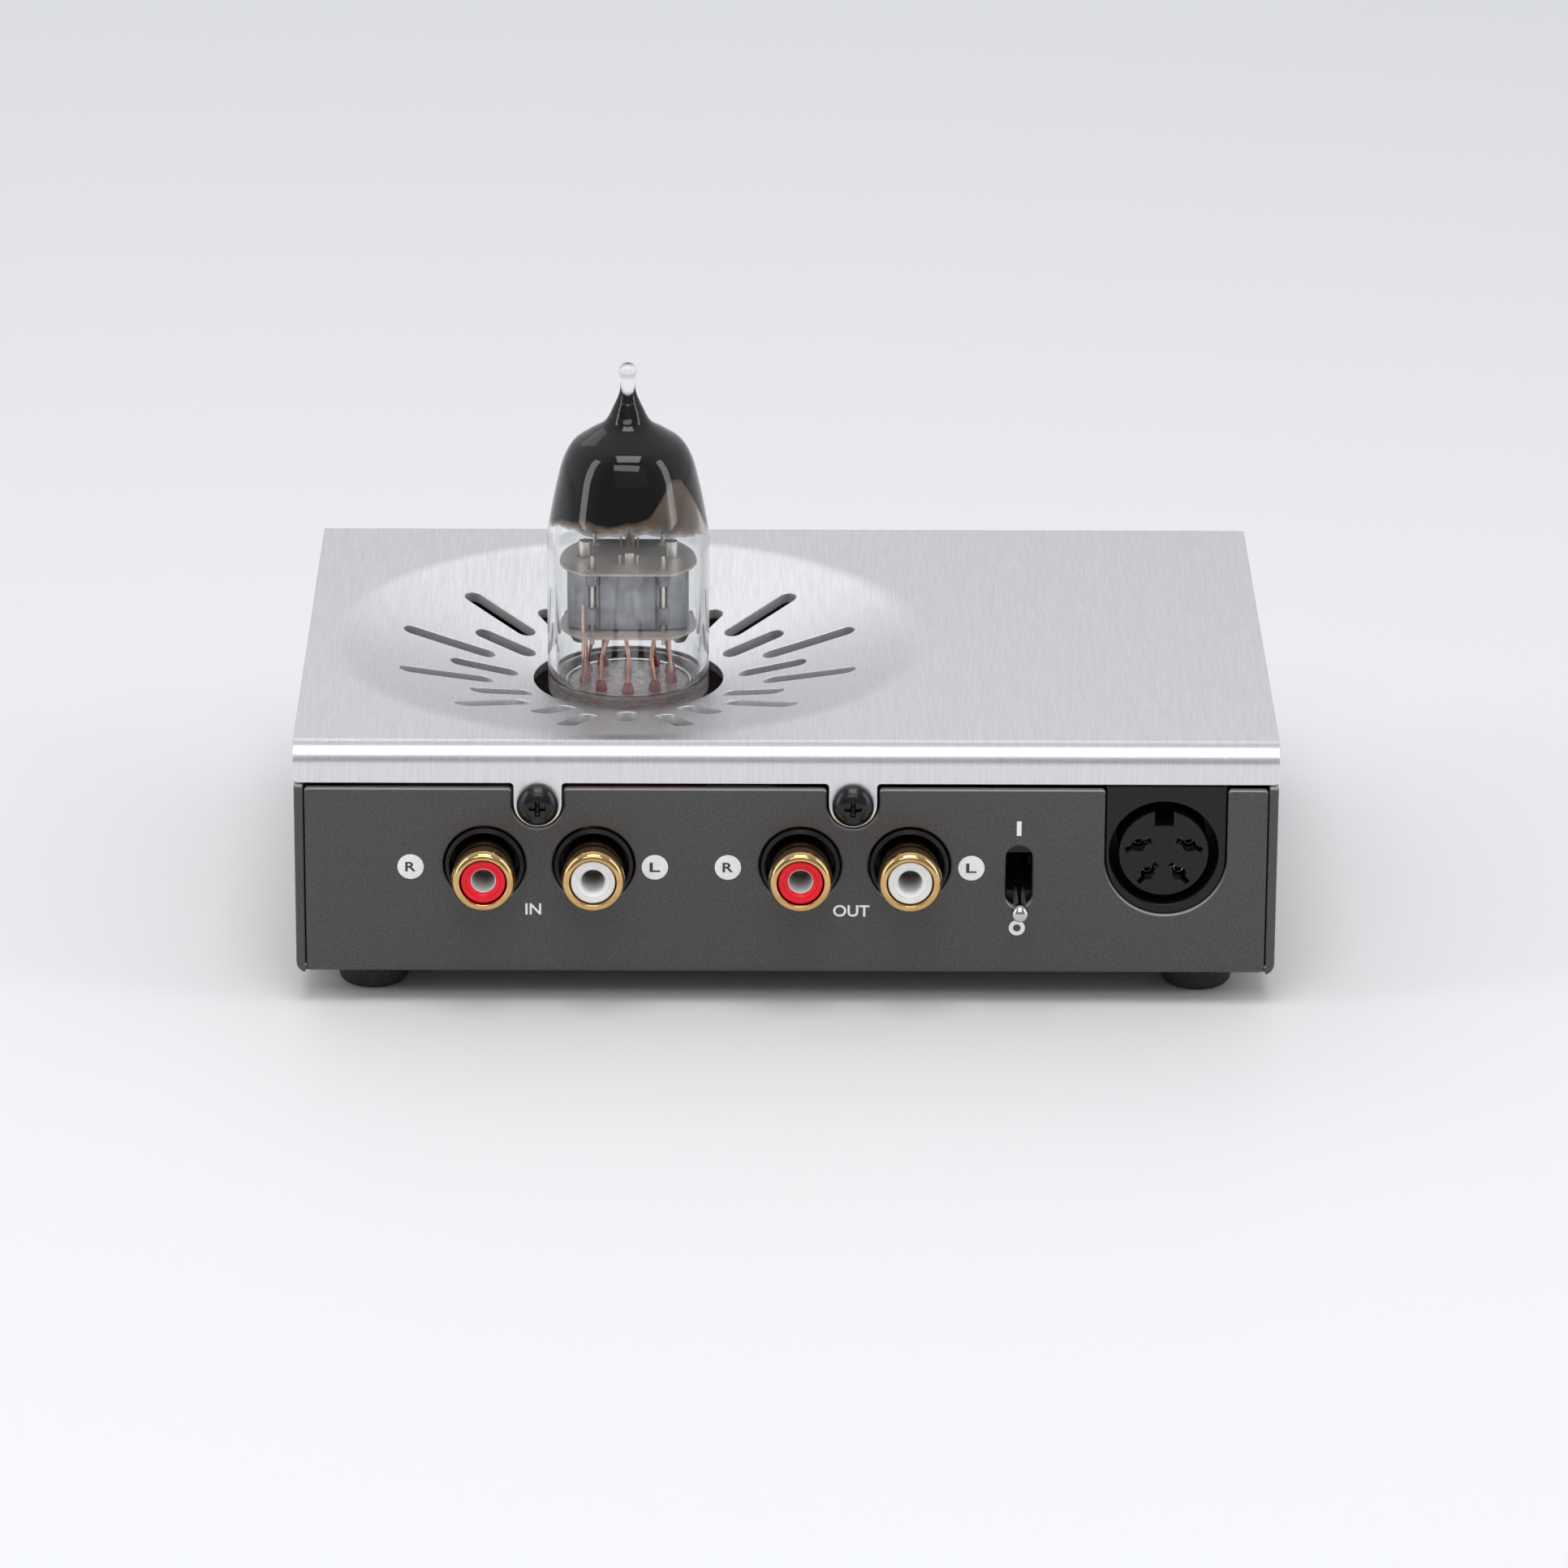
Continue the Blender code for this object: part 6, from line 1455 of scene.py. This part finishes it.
def upright_sheet(outline, thickness, low, high, closed=True):
    """A sheet that stands along an outline in plan: its section is a thin upright rounded bar."""
    tall, thin = (high - low) / 2, thickness / 2
    section = [(-thin, 0, 0), (-thin, -tall, 0.08), (thin, -tall, 0.08), (thin, tall, 0.08)]
    section = softened([*section, (-thin, tall, 0.08), (-thin, 0.001, 0)])
    flat = np.asarray(outline, float)
    path = np.concatenate((flat, np.full((len(flat), 1), (low + high) / 2)), axis=1)
    return swept(in_tube(path), section, (0.0, 0.0, 1.0), closed)


def anode_outline(side):
    """Half a cage in plan: straight flanks, a round outer wall, and a channel round each rod."""
    inner, outer, deep = 3.75, 7.75, 4.3
    corner = [(outer - 2.6, -deep), *arc((outer - 1.6, -deep + 1.6), 1.6, 270, 360, 10)]
    channel = [(inner, -deep), *arc((ROD_X, -deep), 0.55, 180, 0, 10)]
    lower = np.concatenate((channel, corner))
    upper = (lower * (1, -1))[::-1]
    outline = np.concatenate((lower, upper))
    return stepped(outline * (side, 1), 0.6)


for side, solid in ((-1, "anode_left"), (1, "anode_right")):
    wall = upright_sheet(anode_outline(side), ANODE_SHEET, ANODE_LOW, ANODE_HIGH)
    piece(f"{solid}_sheet", wall, grey, "tube", "anode_grey", [solid], merge=0.001)

screen = [(-3.62, -4.2), *arc((-3.42, -4.4), 0.2, 180, 270, 4), (0, -4.62)]
screen += [*arc((3.42, -4.4), 0.2, 270, 360, 4), (3.62, -4.2)]
# The last eleven points only close the loop, across the cage. A short hem is left of that stretch.
leaf_line = stepped(screen, 0.5)[:-11]
front_leaf = upright_sheet(leaf_line, ANODE_SHEET, ANODE_LOW, ANODE_HIGH, closed=False)
back_leaf = (front_leaf[0] * (1, -1, 1) + (0, 2 * TUBE_Y, 0), front_leaf[1][:, ::-1])
web_line = np.stack((np.zeros(20), np.linspace(-4.2, 4.2, 20)), 1)
web = upright_sheet(web_line, ANODE_SHEET, ANODE_LOW, ANODE_HIGH, closed=False)
piece("screen_sheet", joined(front_leaf, back_leaf, web), grey, "tube", "anode_grey", ["anode_screen"])

# %% Stand the rods, cathodes and tabs
pale = finish("pale_nickel", (0.86, 0.80, 0.70), 0.36, 0.8)
two_tone(pale, grain(pale, 0.0008, (1, 1, 5)), (0.78, 0.71, 0.60), (0.90, 0.86, 0.78))
spread(pale, grain(pale, 0.0005), 0.3, 0.45, "Roughness")
MICA_TOP = box_mm("upper_mica")[1][2]
rod = softened([(0, 36.2, 0), (0.25, 36.2, 0.1), (0.25, 48.6, 0.2), (0, 48.6, 0)])
rod_spots = [(sx * ROD_X, sy * 4.75) for sx in (-1, 1) for sy in (-1, 1)]
piece("cage_rods", stood(rod, rod_spots, 24), pale, "tube", "nickel")
clasps = []
for low, high in ((39.1, 41.4), (44.5, ANODE_HIGH - 0.1)):
    clasp = softened([(0.3, low, 0.05), (0.72, low, 0.1), (0.72, high, 0.1), (0.3, high, 0.05)])
    clasps.append(stood(clasp, rod_spots, 32, closed=True))
piece("rod_clasps", joined(*clasps), grey, "tube", "anode_grey")
for side, x in (("left", -5.75), ("right", 5.75)):
    low, high = (corner[2] for corner in box_mm(f"cathode_{side}"))
    line = [(0, low, 0), (0.8, low, 0.1), (0.8, high, 0.1), (0.62, high, 0.05)]
    line = softened([*line, (0.62, high - 1.0, 0), (0, high - 1.0, 0)])
    shape = stood(line, [(x, 0.0)], 40)
    piece(f"cathode_{side}_sleeve", shape, nickel, "tube", "nickel", [f"cathode_{side}"])


def tab(x, y, width, depth, low, high):
    """A small upright tab with rounded edges."""
    lying = block(x - width / 2, x + width / 2, low, high, y - depth / 2, y + depth / 2, 0.1, 3)
    return in_tube(lying[0]), lying[1]


tabs = [tab(0.2, y, 1.25, 0.3, MICA_TOP - 0.02, MICA_TOP + 1.6) for y in (-3.4, 3.9)]
tabs += [tab(x, y, 0.3, 0.3, MICA_TOP - 0.02, MICA_TOP + 1.3) for x in (-1.05, 1.25) for y in (-3.4, 3.9)]
piece("mica_tabs", joined(*tabs), pale, "tube", "nickel")
dress(nickel, "getter_ring")
print("cage: micas, anodes, screen, rods, cathodes and tabs")

# %% [markdown]
# ## Markings
# The panel is printed in off-white ink: a round badge by each jack, IN and OUT over each pair, and
# the signs for on and off by the switch. Ink stands up by a few hundredths of a millimetre, so
# each mark is a very thin solid on the paint. Letters are text objects that are turned into
# meshes before they are placed.

# %% Print the panel
ink = finish("white_ink", (0.93, 0.93, 0.93), 0.48)
two_tone(ink, grain(ink, 0.0005, detail=3.0), (0.89, 0.89, 0.89), (0.96, 0.96, 0.96))
spread(ink, grain(ink, 0.0003), 0.4, 0.58, "Roughness")
INK = 0.02
letter_black = finish("badge_black", (0.035, 0.034, 0.034), 0.5)
two_tone(letter_black, grain(letter_black, 0.0004), (0.028, 0.027, 0.027), (0.045, 0.044, 0.044))


def print_word(name, word, x, z, width, height, y, made):
    """A word as a thin solid on the panel: its letters fill the given width and height."""
    curve = bpy.data.curves.new(name, "FONT")
    curve.body = word
    curve.extrude = 0.5
    curve.offset = 0.018
    curve.resolution_u = 6
    writer = bpy.data.objects.new(name, curve)
    bpy.context.scene.collection.objects.link(writer)
    shapes = bpy.context.evaluated_depsgraph_get()
    mesh = bpy.data.meshes.new_from_object(writer.evaluated_get(shapes))
    bpy.data.objects.remove(writer)
    bpy.data.curves.remove(curve)
    points = np.zeros(3 * len(mesh.vertices), np.float32)
    mesh.vertices.foreach_get("co", points)
    points = points.reshape(-1, 3).astype(float)
    low, high = points.min(axis=0), points.max(axis=0)
    part = (points - (low + high) / 2) / (high - low)
    across, up = x + width * part[:, 0], z + height * part[:, 1]
    place = np.stack((across, y - INK * (part[:, 2] + 0.5), up), 1)
    mesh.vertices.foreach_set("co", (place * MM).astype(np.float32).ravel())
    work = bmesh.new()
    work.from_mesh(mesh)
    bmesh.ops.remove_doubles(work, verts=work.verts, dist=0.001 * MM)
    bmesh.ops.recalc_face_normals(work, faces=work.faces)
    work.to_mesh(mesh)
    work.free()
    return hand_over(name, mesh, made, "amplifier")


badge = softened([(0, 0, 0), (1.7, 0, 0), (1.7, INK, 0.005), (0, INK, 0)])
badge_spots = {"in_r": (-48.45, "R"), "in_l": (-16.92, "L"), "out_r": (-7.5, "R"), "out_l": (23.94, "L")}
BADGE_Z = 19.1
for name, (x, letter) in badge_spots.items():
    piece(f"badge_{name}", turned(badge, (x, PANEL_Y, BADGE_Z), "-Y", 64), ink, "amplifier", None)
    print_word(f"badge_{name}_letter", letter, x, BADGE_Z, 1.36, 1.3, PANEL_Y - INK, letter_black)
print_word("word_in", "IN", -32.65, 13.29, 2.05, 1.55, PANEL_Y, ink)
print_word("word_out", "OUT", 8.47, 13.14, 4.7, 1.6, PANEL_Y, ink)
piece("sign_on", block(29.73, 30.33, 23.57, 25.57, PANEL_Y - INK, PANEL_Y, 0.01), ink, "amplifier", None)
ring = softened([(0.5, 0, 0), (1.04, 0, 0), (1.04, INK, 0.005), (0.5, INK, 0.005)], 3)
piece("sign_off", turned(ring, (29.92, PANEL_Y, 10.84), "-Y", 64, closed=True), ink, "amplifier", None)
print("panel printed")
